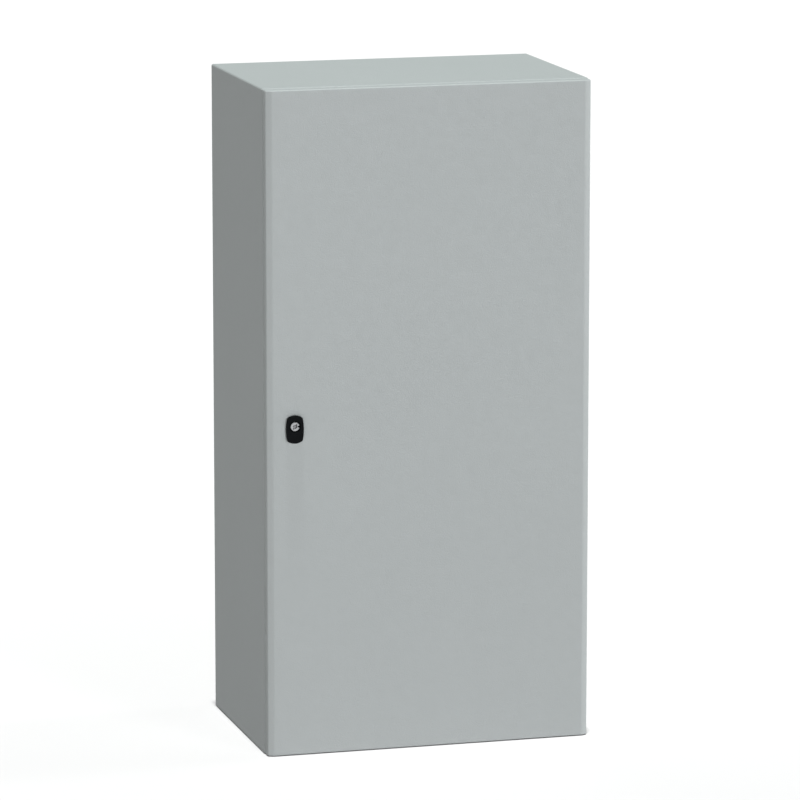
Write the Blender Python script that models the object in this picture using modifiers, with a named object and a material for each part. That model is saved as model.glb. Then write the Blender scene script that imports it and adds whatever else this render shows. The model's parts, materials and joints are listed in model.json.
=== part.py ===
"""Single-door steel switchboard enclosure, 1200 x 600 x 400 mm, empty, with its mounting plate.

Metres, +Z up. The front faces -Y and the origin is the bottom centre of the whole object's box.
Depths in the door are given as "forward" distances, measured towards the viewer from the plane
of the body's front flange. The door stands closed and unlocked.
"""

import math

import bmesh
import bpy
from mathutils import Matrix, Vector

# Whole enclosure
WIDTH = 0.600
HEIGHT = 1.200
DEPTH = 0.400  # back panel to door front
BEZEL_PROUD = 0.005  # lock escutcheon in front of the door
GAP = 0.0003  # between pieces that touch

# Body sheet metal
BODY_SHEET = 0.0015
BODY_BEND = 0.0025
FLANGE = 0.025  # width of the front flange
LIP_SHEET = 0.003  # hemmed, two layers
LIP_FORWARD = 0.012

# Door sheet metal, as forward distances from the flange
DOOR_INSET = 0.001
DOOR_SHEET = 0.002
DOOR_BACK = 0.003
DOOR_FRONT = 0.023
DOOR_INSIDE = DOOR_FRONT - DOOR_SHEET
CHAMFER_WIDE = 0.011
CHAMFER_DEEP = 0.0047
DOOR_BEND = 0.0022

# Planes and half sizes that follow
BACK_Y = (DEPTH + BEZEL_PROUD) / 2
FLANGE_Y = BACK_Y - DEPTH + DOOR_FRONT
HALF_WIDTH = WIDTH / 2
OPENING_HALF_WIDTH = HALF_WIDTH - FLANGE - LIP_SHEET
OPENING_TOP = HEIGHT - FLANGE - LIP_SHEET
OPENING_BOTTOM = FLANGE + LIP_SHEET
ON_DOOR = DOOR_INSIDE - GAP  # forward distance of what is fixed inside the door

# Seal
SEAL_WIDE = 0.010
SEAL_MIDDLE = FLANGE + LIP_SHEET / 2  # in from the body's outside

# Hinges
HINGE_X = HALF_WIDTH - 0.0085
HINGE_FORWARD = 0.013
HINGE_HEIGHTS = (0.120, 0.600, 1.080)
KNUCKLE_R = 0.005
KNUCKLE_BORE_R = 0.0025
PIN_R = KNUCKLE_BORE_R - GAP
BRACKET_HALF = 0.011
LUG_TOP = 0.0235
HINGE_NOTCH_HALF = 0.013

# Lock, in its own frame: across the door and up from the turning axis
LOCK_X = -0.2485
LOCK_Z = 0.600
LOCK_HALF_WIDE = 0.0193
LOCK_HALF_TALL = 0.032
CASE_WALL = 0.0012
CASE_BACK = 0.003
COVER_BACK = 0.0007
CASE_SCREW_UP = 0.0255
NECK_R = 0.011
NECK_BACK = 0.014
INSERT_R = 0.008
SHAFT_HALF = 0.0035
CAM_FRONT, CAM_BACK = -0.003, -0.006
CAM_REACH = 0.0415

# Rack and pinion
TEETH = 12
PITCH = 0.005
PINION_R = TEETH * PITCH / (2 * math.pi)
PRESSURE_ANGLE = math.radians(20)
PINION_ADDENDUM = 0.0014
RACK_ADDENDUM = 0.0011  # short, so that twelve teeth aren't undercut
TOOTH_CLEARANCE = 0.0003
BACKLASH = 0.0003
PINION_FRONT, PINION_BACK = 0.0125, 0.0075

# Lock rods
ROD_WIDE = 0.012
ROD_THICK = 0.004
ROD_OUT = -0.0115  # middle of the upper rod, across from the lock's axis
ROD_FORWARD = 0.010
ROD_END_FORWARD = -0.005
TIP_TOP = 0.570  # above the lock's axis, door unlocked

# Mounting plate
PLATE_WIDE = 0.540
PLATE_TALL = 1.130
PLATE_THICK = 0.0025
PLATE_OFF_BACK = 0.018
STUD_OUT = 0.245
STUD_UP = 0.540
M8_R = 0.004

# Floor opening
GLAND_WIDE, GLAND_DEEP = 0.440, 0.210
GLAND_Y = 0.020
GLAND_MARGIN = 0.020

PART_NAME = "switchboard_enclosure"
AXES = {
    "X": Matrix(((0, 0, 1), (1, 0, 0), (0, 1, 0))),
    "Y": Matrix(((1, 0, 0), (0, 0, -1), (0, 1, 0))),
    "Z": Matrix.Identity(3),
}


def clear_scene():
    for obj in list(bpy.data.objects):
        bpy.data.objects.remove(obj, do_unlink=True)


def new_collection(name, hidden):
    collection = bpy.data.collections.new(name)
    bpy.context.scene.collection.children.link(collection)
    collection.hide_render = hidden
    return collection


def new_material(name, colour, roughness, metallic=0.0):
    material = bpy.data.materials.new(name)
    material.use_nodes = True
    shader = material.node_tree.nodes["Principled BSDF"]
    shader.inputs["Base Color"].default_value = (*colour, 1.0)
    shader.inputs["Roughness"].default_value = roughness
    shader.inputs["Metallic"].default_value = metallic
    return material


clear_scene()
PARTS = new_collection(PART_NAME, hidden=False)
CUTTERS = new_collection(PART_NAME + "_cutters", hidden=True)
PAINT = new_material("powder_coat", (0.42, 0.45, 0.44), 0.50)
ZINC = new_material("zinc_plated", (0.62, 0.63, 0.62), 0.35, 1.0)
GALVANISED = new_material("galvanised", (0.55, 0.57, 0.58), 0.45, 1.0)
BLACK = new_material("black_plastic", (0.015, 0.016, 0.017), 0.40)
CHROME = new_material("plated_zamak", (0.70, 0.70, 0.71), 0.25, 1.0)
FOAM = new_material("seal_foam", (0.030, 0.030, 0.032), 0.85)
NYLON = new_material("nylon", (0.035, 0.036, 0.038), 0.55)


# ---- Building blocks ----


def forward(distance):
    """The Y of a plane this far in front of the body's flange."""
    return FLANGE_Y - distance


def add_object(name, mesh, material, matrix):
    obj = bpy.data.objects.new(name, mesh)
    obj.matrix_basis = matrix
    if material is None:
        obj.hide_render = True
        obj.display_type = "WIRE"
        CUTTERS.objects.link(obj)
    else:
        mesh.materials.clear()
        mesh.materials.append(material)
        PARTS.objects.link(obj)
    return obj


def mesh_from(name, make):
    """A mesh made by one bmesh call."""
    mesh = bpy.data.meshes.new(name)
    bm = bmesh.new()
    make(bm)
    bm.to_mesh(mesh)
    bm.free()
    return mesh


def box(name, low, high, material=None):
    """An upright box between two corners. With no material it is a cutter."""
    low, high = Vector(low), Vector(high)
    size = Matrix.Diagonal(high - low).to_4x4()
    mesh = mesh_from(name, lambda bm: bmesh.ops.create_cube(bm, size=1, matrix=size))
    return add_object(name, mesh, material, Matrix.Translation((low + high) / 2))


def cylinder(name, axis, centre, radius, length, material=None, sides=32):
    def make(bm):
        bmesh.ops.create_cone(
            bm, cap_ends=True, segments=sides, radius1=radius, radius2=radius, depth=length
        )

    mesh = mesh_from(name, make)
    mesh.shade_smooth()
    mesh.set_sharp_from_angle(angle=math.radians(40))
    matrix = Matrix.Translation(centre) @ AXES[axis].to_4x4()
    return add_object(name, mesh, material, matrix)


def prism(name, axis, outline, low, high, material=None, at=(0, 0, 0)):
    """A flat outline drawn square to an axis and given its thickness from low to high along it."""
    curve = bpy.data.curves.new(name, "CURVE")
    curve.dimensions = "2D"
    curve.fill_mode = "BOTH"
    curve.extrude = (high - low) / 2
    spline = curve.splines.new("POLY")
    spline.use_cyclic_u = True
    spline.points.add(len(outline) - 1)
    for point, (across, up) in zip(spline.points, outline):
        point.co = (across, up, 0, 1)
    drawn = bpy.data.objects.new(name, curve)
    middle = Vector((0, 0, 0))
    middle["XYZ".index(axis)] = (low + high) / 2
    matrix = Matrix.Translation(middle + Vector(at)) @ AXES[axis].to_4x4()
    CUTTERS.objects.link(drawn)
    graph = bpy.context.evaluated_depsgraph_get()
    mesh = bpy.data.meshes.new_from_object(drawn.evaluated_get(graph))
    bpy.data.objects.remove(drawn, do_unlink=True)
    bm = bmesh.new()
    bm.from_mesh(mesh)
    bmesh.ops.remove_doubles(bm, verts=bm.verts, dist=1e-6)
    bmesh.ops.recalc_face_normals(bm, faces=bm.faces)
    bm.to_mesh(mesh)
    bm.free()
    return add_object(name, mesh, material, matrix)


def turned(name, axis, centre, profile, material=None, sides=32):
    """A solid of revolution. The profile holds (radius, height) pairs, from the top down."""
    mesh = bpy.data.meshes.new(name)
    points = [(radius, 0, height) for radius, height in profile]
    edges = [(i, i + 1) for i in range(len(points) - 1)]
    if profile[0][0] > 0:
        edges.append((len(points) - 1, 0))
    mesh.from_pydata(points, edges, [])
    matrix = Matrix.Translation(centre) @ AXES[axis].to_4x4()
    obj = add_object(name, mesh, material, matrix)
    screw = obj.modifiers.new("turn", "SCREW")
    screw.steps = sides
    screw.render_steps = sides
    screw.use_merge_vertices = True
    screw.merge_threshold = 1e-5
    screw.use_smooth_shade = False
    return obj


def soften(obj, width, segments=2):
    bevel = obj.modifiers.new("soften", "BEVEL")
    bevel.width = width
    bevel.segments = segments
    bevel.limit_method = "ANGLE"
    bevel.angle_limit = math.radians(35)
    return obj


def combine(obj, other, operation):
    """Cuts one shape from another, or joins them. The helper shape follows its piece."""
    other.parent = obj
    other.matrix_parent_inverse = obj.matrix_basis.inverted()
    boolean = obj.modifiers.new(operation.lower(), "BOOLEAN")
    boolean.operation = operation
    boolean.solver = "EXACT"
    boolean.object = other
    return obj


def cut(obj, *cutters):
    for cutter in cutters:
        combine(obj, cutter, "DIFFERENCE")
    return obj


def join(obj, *helpers):
    for helper in helpers:
        combine(obj, helper, "UNION")
    return obj


def arc(centre, radius, start, end, steps):
    """Points on an arc, angles in degrees."""
    points = []
    for i in range(steps + 1):
        angle = math.radians(start + (end - start) * i / steps)
        points.append(
            (centre[0] + radius * math.cos(angle), centre[1] + radius * math.sin(angle))
        )
    return points


def rounded_box_outline(half_wide, half_tall, radius, steps=3):
    """A rectangle with round corners, about its middle."""
    across, up = half_wide - radius, half_tall - radius
    points = []
    for corner, (sx, sy) in enumerate(((1, 1), (-1, 1), (-1, -1), (1, -1))):
        points += arc((sx * across, sy * up), radius, 90 * corner, 90 * corner + 90, steps)
    return points


def axis_empty(name, location):
    empty = bpy.data.objects.new(name, None)
    empty.location = location
    empty.empty_display_size = 0.05
    PARTS.objects.link(empty)
    return empty


def hang_on(pieces, empty):
    """Parents pieces to the empty on their joint's axis, where they already stand."""
    for piece in pieces:
        piece.parent = empty
        piece.matrix_parent_inverse = Matrix.Translation(empty.location).inverted()


def half_turn_about_lock(obj):
    """Turns a piece of the upper half of the lock into its partner in the lower half."""
    centre = Matrix.Translation((LOCK_X, 0, LOCK_Z))
    turn = Matrix.Rotation(math.pi, 4, "Y")
    obj.matrix_basis = centre @ turn @ centre.inverted() @ obj.matrix_basis
    return obj


def mirrored_pair(value):
    return (-value, value)


# ---- Fasteners ----


def hex_outline(across_flats):
    return arc((0, 0), across_flats / math.sqrt(3), 0, 300, 5)


def hex_nut(name, axis, centre, across_flats, thick, bore_r, material=ZINC):
    """A nut centred on a point."""
    nut = prism(name, axis, hex_outline(across_flats), -thick / 2, thick / 2, material,
                at=centre)
    soften(nut, 0.0004, segments=1)
    return cut(nut, cylinder(name + "_bore", axis, centre, bore_r, 2 * thick, sides=16))


def hex_screw(name, centre, shank_r, shank_long, across_flats, head_thick):
    """A hexagon head screw pointing down, its head's underside at the centre."""
    x, y, z = centre
    screw = cylinder(name, "Z", (x, y, z - shank_long / 2 + GAP / 2), shank_r,
                     shank_long + GAP, ZINC, sides=12)
    head = prism(name + "_head", "Z", hex_outline(across_flats), 0, head_thick, at=centre)
    washer = cylinder(name + "_washer", "Z", (x, y, z + 0.0006), across_flats * 0.62, 0.0012,
                      sides=20)
    return join(screw, head, washer)


def stud(name, axis, centre, radius, length, material=ZINC):
    """A plain threaded bar with chamfered ends, starting at the centre and running along the axis."""
    bevel = radius * 0.2
    profile = [
        (0, length),
        (radius - bevel, length),
        (radius, length - bevel),
        (radius, 0),
        (0, 0),
    ]
    return turned(name, axis, centre, profile, material, sides=16)


# ---- Cabinet body ----


def body_shell():
    """Folded body: sides, floor, roof and back in one, a front flange, and a lip that seals."""
    shell = box("body_shell", (-HALF_WIDTH, FLANGE_Y, 0), (HALF_WIDTH, BACK_Y, HEIGHT), PAINT)
    soften(shell, BODY_BEND, segments=2)
    cavity = box(
        "body_cavity",
        (-HALF_WIDTH + BODY_SHEET, FLANGE_Y + BODY_SHEET, BODY_SHEET),
        (HALF_WIDTH - BODY_SHEET, BACK_Y - BODY_SHEET, HEIGHT - BODY_SHEET),
    )
    cut(shell, cavity)
    lip = box(
        "body_lip",
        (-HALF_WIDTH + FLANGE, forward(LIP_FORWARD), FLANGE),
        (HALF_WIDTH - FLANGE, FLANGE_Y + BODY_SHEET / 2, HEIGHT - FLANGE),
    )
    join(shell, lip)
    opening = box(
        "body_opening",
        (-OPENING_HALF_WIDTH, forward(2 * LIP_FORWARD), OPENING_BOTTOM),
        (OPENING_HALF_WIDTH, FLANGE_Y + 4 * BODY_SHEET, OPENING_TOP),
    )
    cut(shell, opening)
    floor_hole = prism(
        "body_floor_opening",
        "Z",
        rounded_box_outline(GLAND_WIDE / 2, GLAND_DEEP / 2, 0.006),
        -BODY_SHEET,
        2 * BODY_SHEET,
        at=(0, GLAND_Y, 0),
    )
    cut(shell, floor_hole)
    for i, (x, y) in enumerate(gland_screw_places()):
        cut(shell, cylinder(f"body_gland_hole_{i}", "Z", (x, y, 0), 0.0030, 0.01, sides=12))
    for i, (x, z) in enumerate(wall_hole_places()):
        centre = (x, BACK_Y, z)
        cut(shell, cylinder(f"body_wall_hole_{i}", "Y", centre, 0.006, 0.01, sides=16))
    return shell


def wall_hole_places():
    return [(x, HEIGHT / 2 + up) for up in mirrored_pair(0.560) for x in mirrored_pair(0.262)]


def wall_plugs():
    """Plastic plugs pushed into the wall-fixing holes from inside, flush with the back."""
    plugs = []
    head = BODY_SHEET + GAP
    profile = [
        (0, head + 0.0025),
        (0.0075, head + 0.0025),
        (0.0085, head + 0.0015),
        (0.0085, head),
        (0.0056, head),
        (0.0056, GAP),
        (0, GAP),
    ]
    for i, (x, z) in enumerate(wall_hole_places(), start=1):
        plugs.append(turned(f"wall_plug_{i}", "Y", (x, BACK_Y, z), profile, NYLON, sides=16))
    return plugs


def gland_screw_places():
    across = GLAND_WIDE / 2 + GLAND_MARGIN / 2
    return [
        (x, GLAND_Y + y)
        for y in mirrored_pair(GLAND_DEEP / 2 + GLAND_MARGIN / 2)
        for x in (-across + GLAND_MARGIN, 0, across - GLAND_MARGIN)
    ]


def gland_set():
    """Cable entry plate on the floor of the body, with its foam seal and screws."""
    half_wide, half_deep = GLAND_WIDE / 2 + GLAND_MARGIN, GLAND_DEEP / 2 + GLAND_MARGIN
    seal_low = BODY_SHEET + GAP
    seal_high = seal_low + 0.003
    plate_low = seal_high + GAP
    plate_high = plate_low + 0.002
    outline = rounded_box_outline(half_wide, half_deep, 0.006)
    seal = prism("gland_gasket", "Z", outline, seal_low, seal_high, FOAM, at=(0, GLAND_Y, 0))
    inner = rounded_box_outline(GLAND_WIDE / 2 + 0.002, GLAND_DEEP / 2 + 0.002, 0.006)
    cut(seal, prism("gland_gasket_hole", "Z", inner, 0, 0.02, at=(0, GLAND_Y, 0)))
    plate = prism("gland_plate", "Z", outline, plate_low, plate_high, PAINT,
                  at=(0, GLAND_Y, 0))
    pieces = [seal, plate]
    for i, (x, y) in enumerate(gland_screw_places(), start=1):
        cut(seal, cylinder(f"gland_gasket_hole_{i}", "Z", (x, y, 0), 0.0035, 0.03, sides=12))
        cut(plate, cylinder(f"gland_plate_hole_{i}", "Z", (x, y, 0), 0.0033, 0.03, sides=12))
        head_under = plate_high + GAP
        pieces.append(hex_screw(f"gland_screw_{i}", (x, y, head_under), 0.0026,
                                head_under - GAP, 0.010, 0.0045))
    return pieces


def mounting_set():
    """Galvanised plate for the equipment, on four shouldered studs welded to the back."""
    inside_back = BACK_Y - BODY_SHEET
    plate_back = inside_back - PLATE_OFF_BACK
    plate_front = plate_back - PLATE_THICK
    outline = rounded_box_outline(PLATE_WIDE / 2, PLATE_TALL / 2, 0.008)
    plate = prism("mounting_plate", "Y", outline, plate_front, plate_back, GALVANISED,
                  at=(0, 0, HEIGHT / 2))
    pieces = [plate]
    shoulder = PLATE_OFF_BACK - 2 * GAP
    profile = [
        (0, 0.040),
        (M8_R - 0.0008, 0.040),
        (M8_R, 0.0392),
        (M8_R, shoulder),
        (0.007, shoulder),
        (0.007, 0),
        (0, 0),
    ]
    places = [(x, up) for up in mirrored_pair(STUD_UP) for x in mirrored_pair(STUD_OUT)]
    for i, (x, up) in enumerate(places, start=1):
        z = HEIGHT / 2 + up
        hole = cylinder(f"mounting_plate_hole_{i}", "Y", (x, plate_back, z), 0.0046, 0.02,
                        sides=16)
        cut(plate, hole)
        base = (x, inside_back - GAP, z)
        pieces.append(turned(f"mounting_stud_{i}", "Y", base, profile, ZINC, sides=16))
        nut_thick = 0.0065
        centre = (x, plate_front - GAP - nut_thick / 2, z)
        pieces.append(hex_nut(f"mounting_nut_{i}", "Y", centre, 0.013, nut_thick, M8_R + GAP))
    return pieces


def body_earth_set():
    """Bonding stud welded to the floor, near the right back corner."""
    x, y = 0.262, 0.150
    base = BODY_SHEET + GAP
    bar = stud("body_earth_stud", "Z", (x, y, base), M8_R, 0.025)
    nut = hex_nut("body_earth_nut", "Z", (x, y, base + 0.012), 0.013, 0.0065, M8_R + GAP)
    return [bar, nut]


# ---- Hinges ----


def hinge_point(across, out, z=0.0):
    """A point given from the hinge axis: across to the right and out to the front."""
    return (HINGE_X + across, forward(HINGE_FORWARD + out), z)


def hinge_outline(points):
    """Drawn with X to the right and forward up, so Y is turned round."""
    return [(HINGE_X + across, forward(HINGE_FORWARD + out)) for across, out in points]


def hinge_bracket(name, height):
    """Fixed half: a foot on the flange and an arm that carries the middle knuckle."""
    foot_low = -HINGE_FORWARD + GAP
    foot_high = foot_low + 0.003
    foot_left = -0.0162
    arm_left, arm_right = -KNUCKLE_R, -0.0015
    start = math.degrees(math.atan2(-math.sqrt(KNUCKLE_R**2 - arm_right**2), arm_right))
    outline = hinge_outline(
        [(foot_left, foot_low), (arm_right, foot_low)]
        + arc((0, 0), KNUCKLE_R, start, 180, 12)
        + [(arm_left, foot_high), (foot_left, foot_high)]
    )
    bracket = prism(name, "Z", outline, height - BRACKET_HALF, height + BRACKET_HALF, PAINT)
    return cut(bracket, hinge_bore(name, height))


def hinge_bore(name, height):
    centre = hinge_point(0, 0, height)
    return cylinder(name + "_bore", "Z", centre, KNUCKLE_BORE_R, 0.08, sides=16)


def hinge_leaf(name, height):
    """Moving half: a strip on the door with two lugs, above and below the middle knuckle."""
    plate_low = 0.0052
    plate_high = ON_DOOR - HINGE_FORWARD
    plate_left, plate_right = -0.0127, -0.0042
    strip = box(
        name,
        hinge_point(plate_left, plate_high, height - LUG_TOP - 0.001),
        hinge_point(plate_right, plate_low, height + LUG_TOP + 0.001),
        PAINT,
    )
    lug_bottom = BRACKET_HALF + GAP
    arm_left = plate_left + 0.0037
    lug_shape = hinge_outline(
        [(arm_left, plate_low + 0.0005), (arm_left, plate_high - 0.0002),
         (plate_right - 0.0002, plate_high - 0.0002)]
        + arc((0, 0), KNUCKLE_R, 90, -180, 12)
    )
    for side, sign in (("upper", 1), ("lower", -1)):
        low, high = sorted((sign * lug_bottom, sign * LUG_TOP))
        join(strip, prism(f"{name}_{side}_lug", "Z", lug_shape, height + low, height + high))
    return cut(strip, hinge_bore(name, height))


def hinge_pin(name, height):
    """Headed pin, dropped in from above."""
    head_under = LUG_TOP + GAP
    profile = [
        (0, head_under + 0.0020),
        (0.0032, head_under + 0.0020),
        (0.0040, head_under + 0.0012),
        (0.0040, head_under),
        (PIN_R, head_under),
        (PIN_R, -LUG_TOP - 0.0010),
        (PIN_R - 0.0006, -LUG_TOP - 0.0020),
        (0, -LUG_TOP - 0.0020),
    ]
    return turned(name, "Z", hinge_point(0, 0, height), profile, ZINC, sides=16)


# ---- Door ----


def door_outline(inset):
    """Plan of the door: two straight returns, two chamfers and the flat front."""
    side = HALF_WIDTH - DOOR_INSET
    slope = math.atan2(CHAMFER_DEEP, CHAMFER_WIDE)
    # The inner line of the chamfer stays parallel to the outer one
    front_shift = inset * math.tan(slope / 2)
    side_shift = inset * math.tan((math.pi / 2 - slope) / 2)
    front_corner = (side - CHAMFER_WIDE - front_shift, DOOR_FRONT - inset)
    side_corner = (side - inset, DOOR_FRONT - CHAMFER_DEEP - side_shift)
    back = DOOR_BACK - inset
    half = [(side - inset, back), side_corner, front_corner]
    points = half + [(-x, out) for x, out in reversed(half)]
    return [(x, forward(out)) for x, out in points]


def door_panel():
    low, high = DOOR_INSET, HEIGHT - DOOR_INSET
    panel = prism("door_panel", "Z", door_outline(0), low, high, PAINT)
    soften(panel, DOOR_BEND, segments=2)
    cavity = prism("door_cavity", "Z", door_outline(DOOR_SHEET), low + DOOR_SHEET,
                   high - DOOR_SHEET)
    cut(panel, cavity)
    neck = (LOCK_X, forward(DOOR_FRONT), LOCK_Z)
    cut(panel, cylinder("door_lock_hole", "Y", neck, NECK_R + GAP, 0.02))
    for i, height in enumerate(HINGE_HEIGHTS, start=1):
        notch = box(
            f"door_hinge_notch_{i}",
            (HALF_WIDTH - 0.005, forward(DOOR_FRONT - CHAMFER_DEEP - 0.0013),
             height - HINGE_NOTCH_HALF),
            (HALF_WIDTH + 0.005, forward(0), height + HINGE_NOTCH_HALF),
        )
        cut(panel, notch)
    return panel


def door_gasket():
    """Foamed seal that the lip presses into, here just clear of it."""
    outer = SEAL_MIDDLE - SEAL_WIDE / 2
    inner = SEAL_MIDDLE + SEAL_WIDE / 2
    back = LIP_FORWARD + GAP
    middle = HEIGHT / 2

    def ring(inset, radius):
        return rounded_box_outline(HALF_WIDTH - inset, middle - inset, radius, steps=6)

    seal = prism("door_gasket", "Y", ring(outer, 0.012), forward(ON_DOOR), forward(back),
                 FOAM, at=(0, 0, middle))
    hole = prism("door_gasket_hole", "Y", ring(inner, 0.004), forward(0.04), forward(0),
                 at=(0, 0, middle))
    return cut(seal, hole)


def door_stiffener(name, inner, outer):
    """Upright channel, open towards the door sheet and holed along its web."""
    low, high = 0.060, HEIGHT - 0.060
    back, sheet = 0.0057, 0.0012
    channel = box(name, (inner, forward(ON_DOOR), low), (outer, forward(back), high), PAINT)
    hollow = box(
        name + "_hollow",
        (inner + sheet, forward(ON_DOOR + 0.01), low - 0.01),
        (outer - sheet, forward(back + sheet), high + 0.01),
    )
    cut(channel, hollow)
    step = 0.100
    count = 10
    first = HEIGHT / 2 - step * (count - 1) / 2
    for i in range(count):
        centre = ((inner + outer) / 2, forward(back), first + step * i)
        cut(channel, cylinder(f"{name}_hole_{i}", "Y", centre, 0.0035, 0.01, sides=10))
    return channel


def door_earth_set():
    x, z = 0.245, 0.070
    bar = stud("door_earth_stud", "Y", (x, forward(ON_DOOR), z), M8_R, 0.020)
    bar.matrix_basis = bar.matrix_basis @ Matrix.Rotation(math.pi, 4, "X")
    nut = hex_nut("door_earth_nut", "Y", (x, forward(ON_DOOR - 0.012), z), 0.013, 0.0065,
                  M8_R + GAP)
    return [bar, nut]


# ---- Lock ----


def bulged_outline(half_wide, half_tall, side_bulge, end_bulge, steps=5):
    """A rectangle whose four sides are shallow arcs. Half sizes are those of the corners."""
    points = []
    for quarter, (half_chord, across, bulge) in enumerate((
        (half_tall, half_wide, side_bulge),
        (half_wide, half_tall, end_bulge),
        (half_tall, half_wide, side_bulge),
        (half_wide, half_tall, end_bulge),
    )):
        radius = (half_chord**2 + bulge**2) / (2 * bulge)
        spread = math.degrees(math.asin(half_chord / radius))
        turn = math.radians(90 * quarter)
        middle = across + bulge - radius
        centre = (middle * math.cos(turn), middle * math.sin(turn))
        side = arc(centre, radius, 90 * quarter - spread, 90 * quarter + spread, steps)
        points += side[:-1]
    return points


def lock_bezel():
    """Escutcheon with a barrel outline, a round well for the insert and a threaded neck."""
    below_axis = 0.0052
    front = DOOR_FRONT + BEZEL_PROUD
    outline = bulged_outline(0.0138, 0.0206, 0.0023, 0.0047)
    bezel = prism("lock_bezel", "Y", outline, forward(front), forward(DOOR_FRONT + GAP), BLACK,
                  at=(LOCK_X, 0, LOCK_Z - below_axis))
    soften(bezel, 0.0012, segments=2)
    neck_front = front - 0.0025
    centre = (LOCK_X, forward((neck_front + NECK_BACK) / 2), LOCK_Z)
    join(bezel, cylinder("lock_neck", "Y", centre, NECK_R, neck_front - NECK_BACK))
    well_deep = 0.0018
    well = turned(
        "lock_well",
        "Y",
        (LOCK_X, forward(front), LOCK_Z),
        [(0, well_deep), (0.0113, well_deep), (0.0098, -well_deep), (0, -well_deep)],
    )
    cut(bezel, well)
    centre = (LOCK_X, forward(DOOR_FRONT), LOCK_Z)
    return cut(bezel, cylinder("lock_bore", "Y", centre, INSERT_R + GAP, 0.05))


def lock_ring_nut():
    front = ON_DOOR - CASE_WALL - GAP
    thick = 0.004
    centre = (LOCK_X, forward(front - thick / 2), LOCK_Z)
    return hex_nut("lock_ring_nut", "Y", centre, 0.027, thick, NECK_R + GAP)


def lock_case():
    """Box over the rack and pinion, open at the back, slotted for the rods."""
    low = (LOCK_X - LOCK_HALF_WIDE, forward(ON_DOOR), LOCK_Z - LOCK_HALF_TALL)
    high = (LOCK_X + LOCK_HALF_WIDE, forward(CASE_BACK), LOCK_Z + LOCK_HALF_TALL)
    case = soften(box("lock_case", low, high, BLACK), 0.0008)
    wall = Vector((CASE_WALL, CASE_WALL, CASE_WALL))
    hollow = box("lock_case_hollow", Vector(low) + wall,
                 (high[0] - CASE_WALL, high[1] + CASE_WALL, high[2] - CASE_WALL))
    cut(case, hollow)
    for sign in (1, -1):
        centre_z = LOCK_Z + sign * CASE_SCREW_UP
        post_front, post_back = ON_DOOR - CASE_WALL / 2, CASE_BACK + GAP
        centre = (LOCK_X, forward((post_front + post_back) / 2), centre_z)
        post = cylinder(f"lock_case_post_{sign}", "Y", centre, 0.0035, post_front - post_back,
                        sides=16)
        join(case, post)
        thread = cylinder(f"lock_case_thread_{sign}", "Y", (LOCK_X, forward(CASE_BACK), centre_z),
                          0.0017, 0.020, sides=12)
        cut(case, thread)
        slot = rod_slot(f"lock_case_slot_{sign}", LOCK_HALF_TALL, 2 * LOCK_HALF_WIDE)
        cut(case, slot if sign > 0 else half_turn_about_lock(slot))
    neck = (LOCK_X, forward(DOOR_INSIDE), LOCK_Z)
    return cut(case, cylinder("lock_case_hole", "Y", neck, NECK_R + GAP, 0.01))


def rod_slot(name, up, tall):
    """Cutter that leaves the upper rod room to slide, centred this far above the lock's axis."""
    slack = 0.0004
    half_wide = ROD_WIDE / 2 + slack
    half_thick = ROD_THICK / 2 + slack
    x = LOCK_X + ROD_OUT
    return box(
        name,
        (x - half_wide, forward(ROD_FORWARD + half_thick), LOCK_Z + up - tall / 2),
        (x + half_wide, forward(ROD_FORWARD - half_thick), LOCK_Z + up + tall / 2),
    )


def lock_cover():
    low, high = forward(CASE_BACK - GAP), forward(COVER_BACK)
    outline = rounded_box_outline(LOCK_HALF_WIDE, LOCK_HALF_TALL, 0.002)
    cover = prism("lock_cover", "Y", outline, low, high, ZINC, at=(LOCK_X, 0, LOCK_Z))
    centre = (LOCK_X, forward(CASE_BACK), LOCK_Z)
    cut(cover, cylinder("lock_cover_hole", "Y", centre, 0.0058, 0.02, sides=24))
    for sign in (1, -1):
        centre = (LOCK_X, forward(CASE_BACK), LOCK_Z + sign * CASE_SCREW_UP)
        cut(cover, cylinder(f"lock_cover_screw_hole_{sign}", "Y", centre, 0.0018, 0.02, sides=12))
    return cover


def pan_screw(name, centre_z, back, shank_r, head_r, head_thick, shank_long):
    """Pan head screw driven forwards into the lock from behind, with a cross recess."""
    profile = [
        (0, shank_long),
        (shank_r, shank_long),
        (shank_r, 0),
        (head_r, 0),
        (head_r * 0.95, -head_thick * 0.55),
        (head_r * 0.65, -head_thick),
        (0, -head_thick),
    ]
    centre = (LOCK_X, forward(back), centre_z)
    screw = turned(name, "Y", centre, profile, ZINC, sides=16)
    for tag, wide, tall in (("a", 0.55, 0.12), ("b", 0.12, 0.55)):
        bit = box(
            f"{name}_cross_{tag}",
            (LOCK_X - head_r * wide, forward(back - head_thick * 0.5), centre_z - head_r * tall),
            (LOCK_X + head_r * wide, forward(back - head_thick * 2), centre_z + head_r * tall),
        )
        cut(screw, bit)
    return screw


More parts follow.
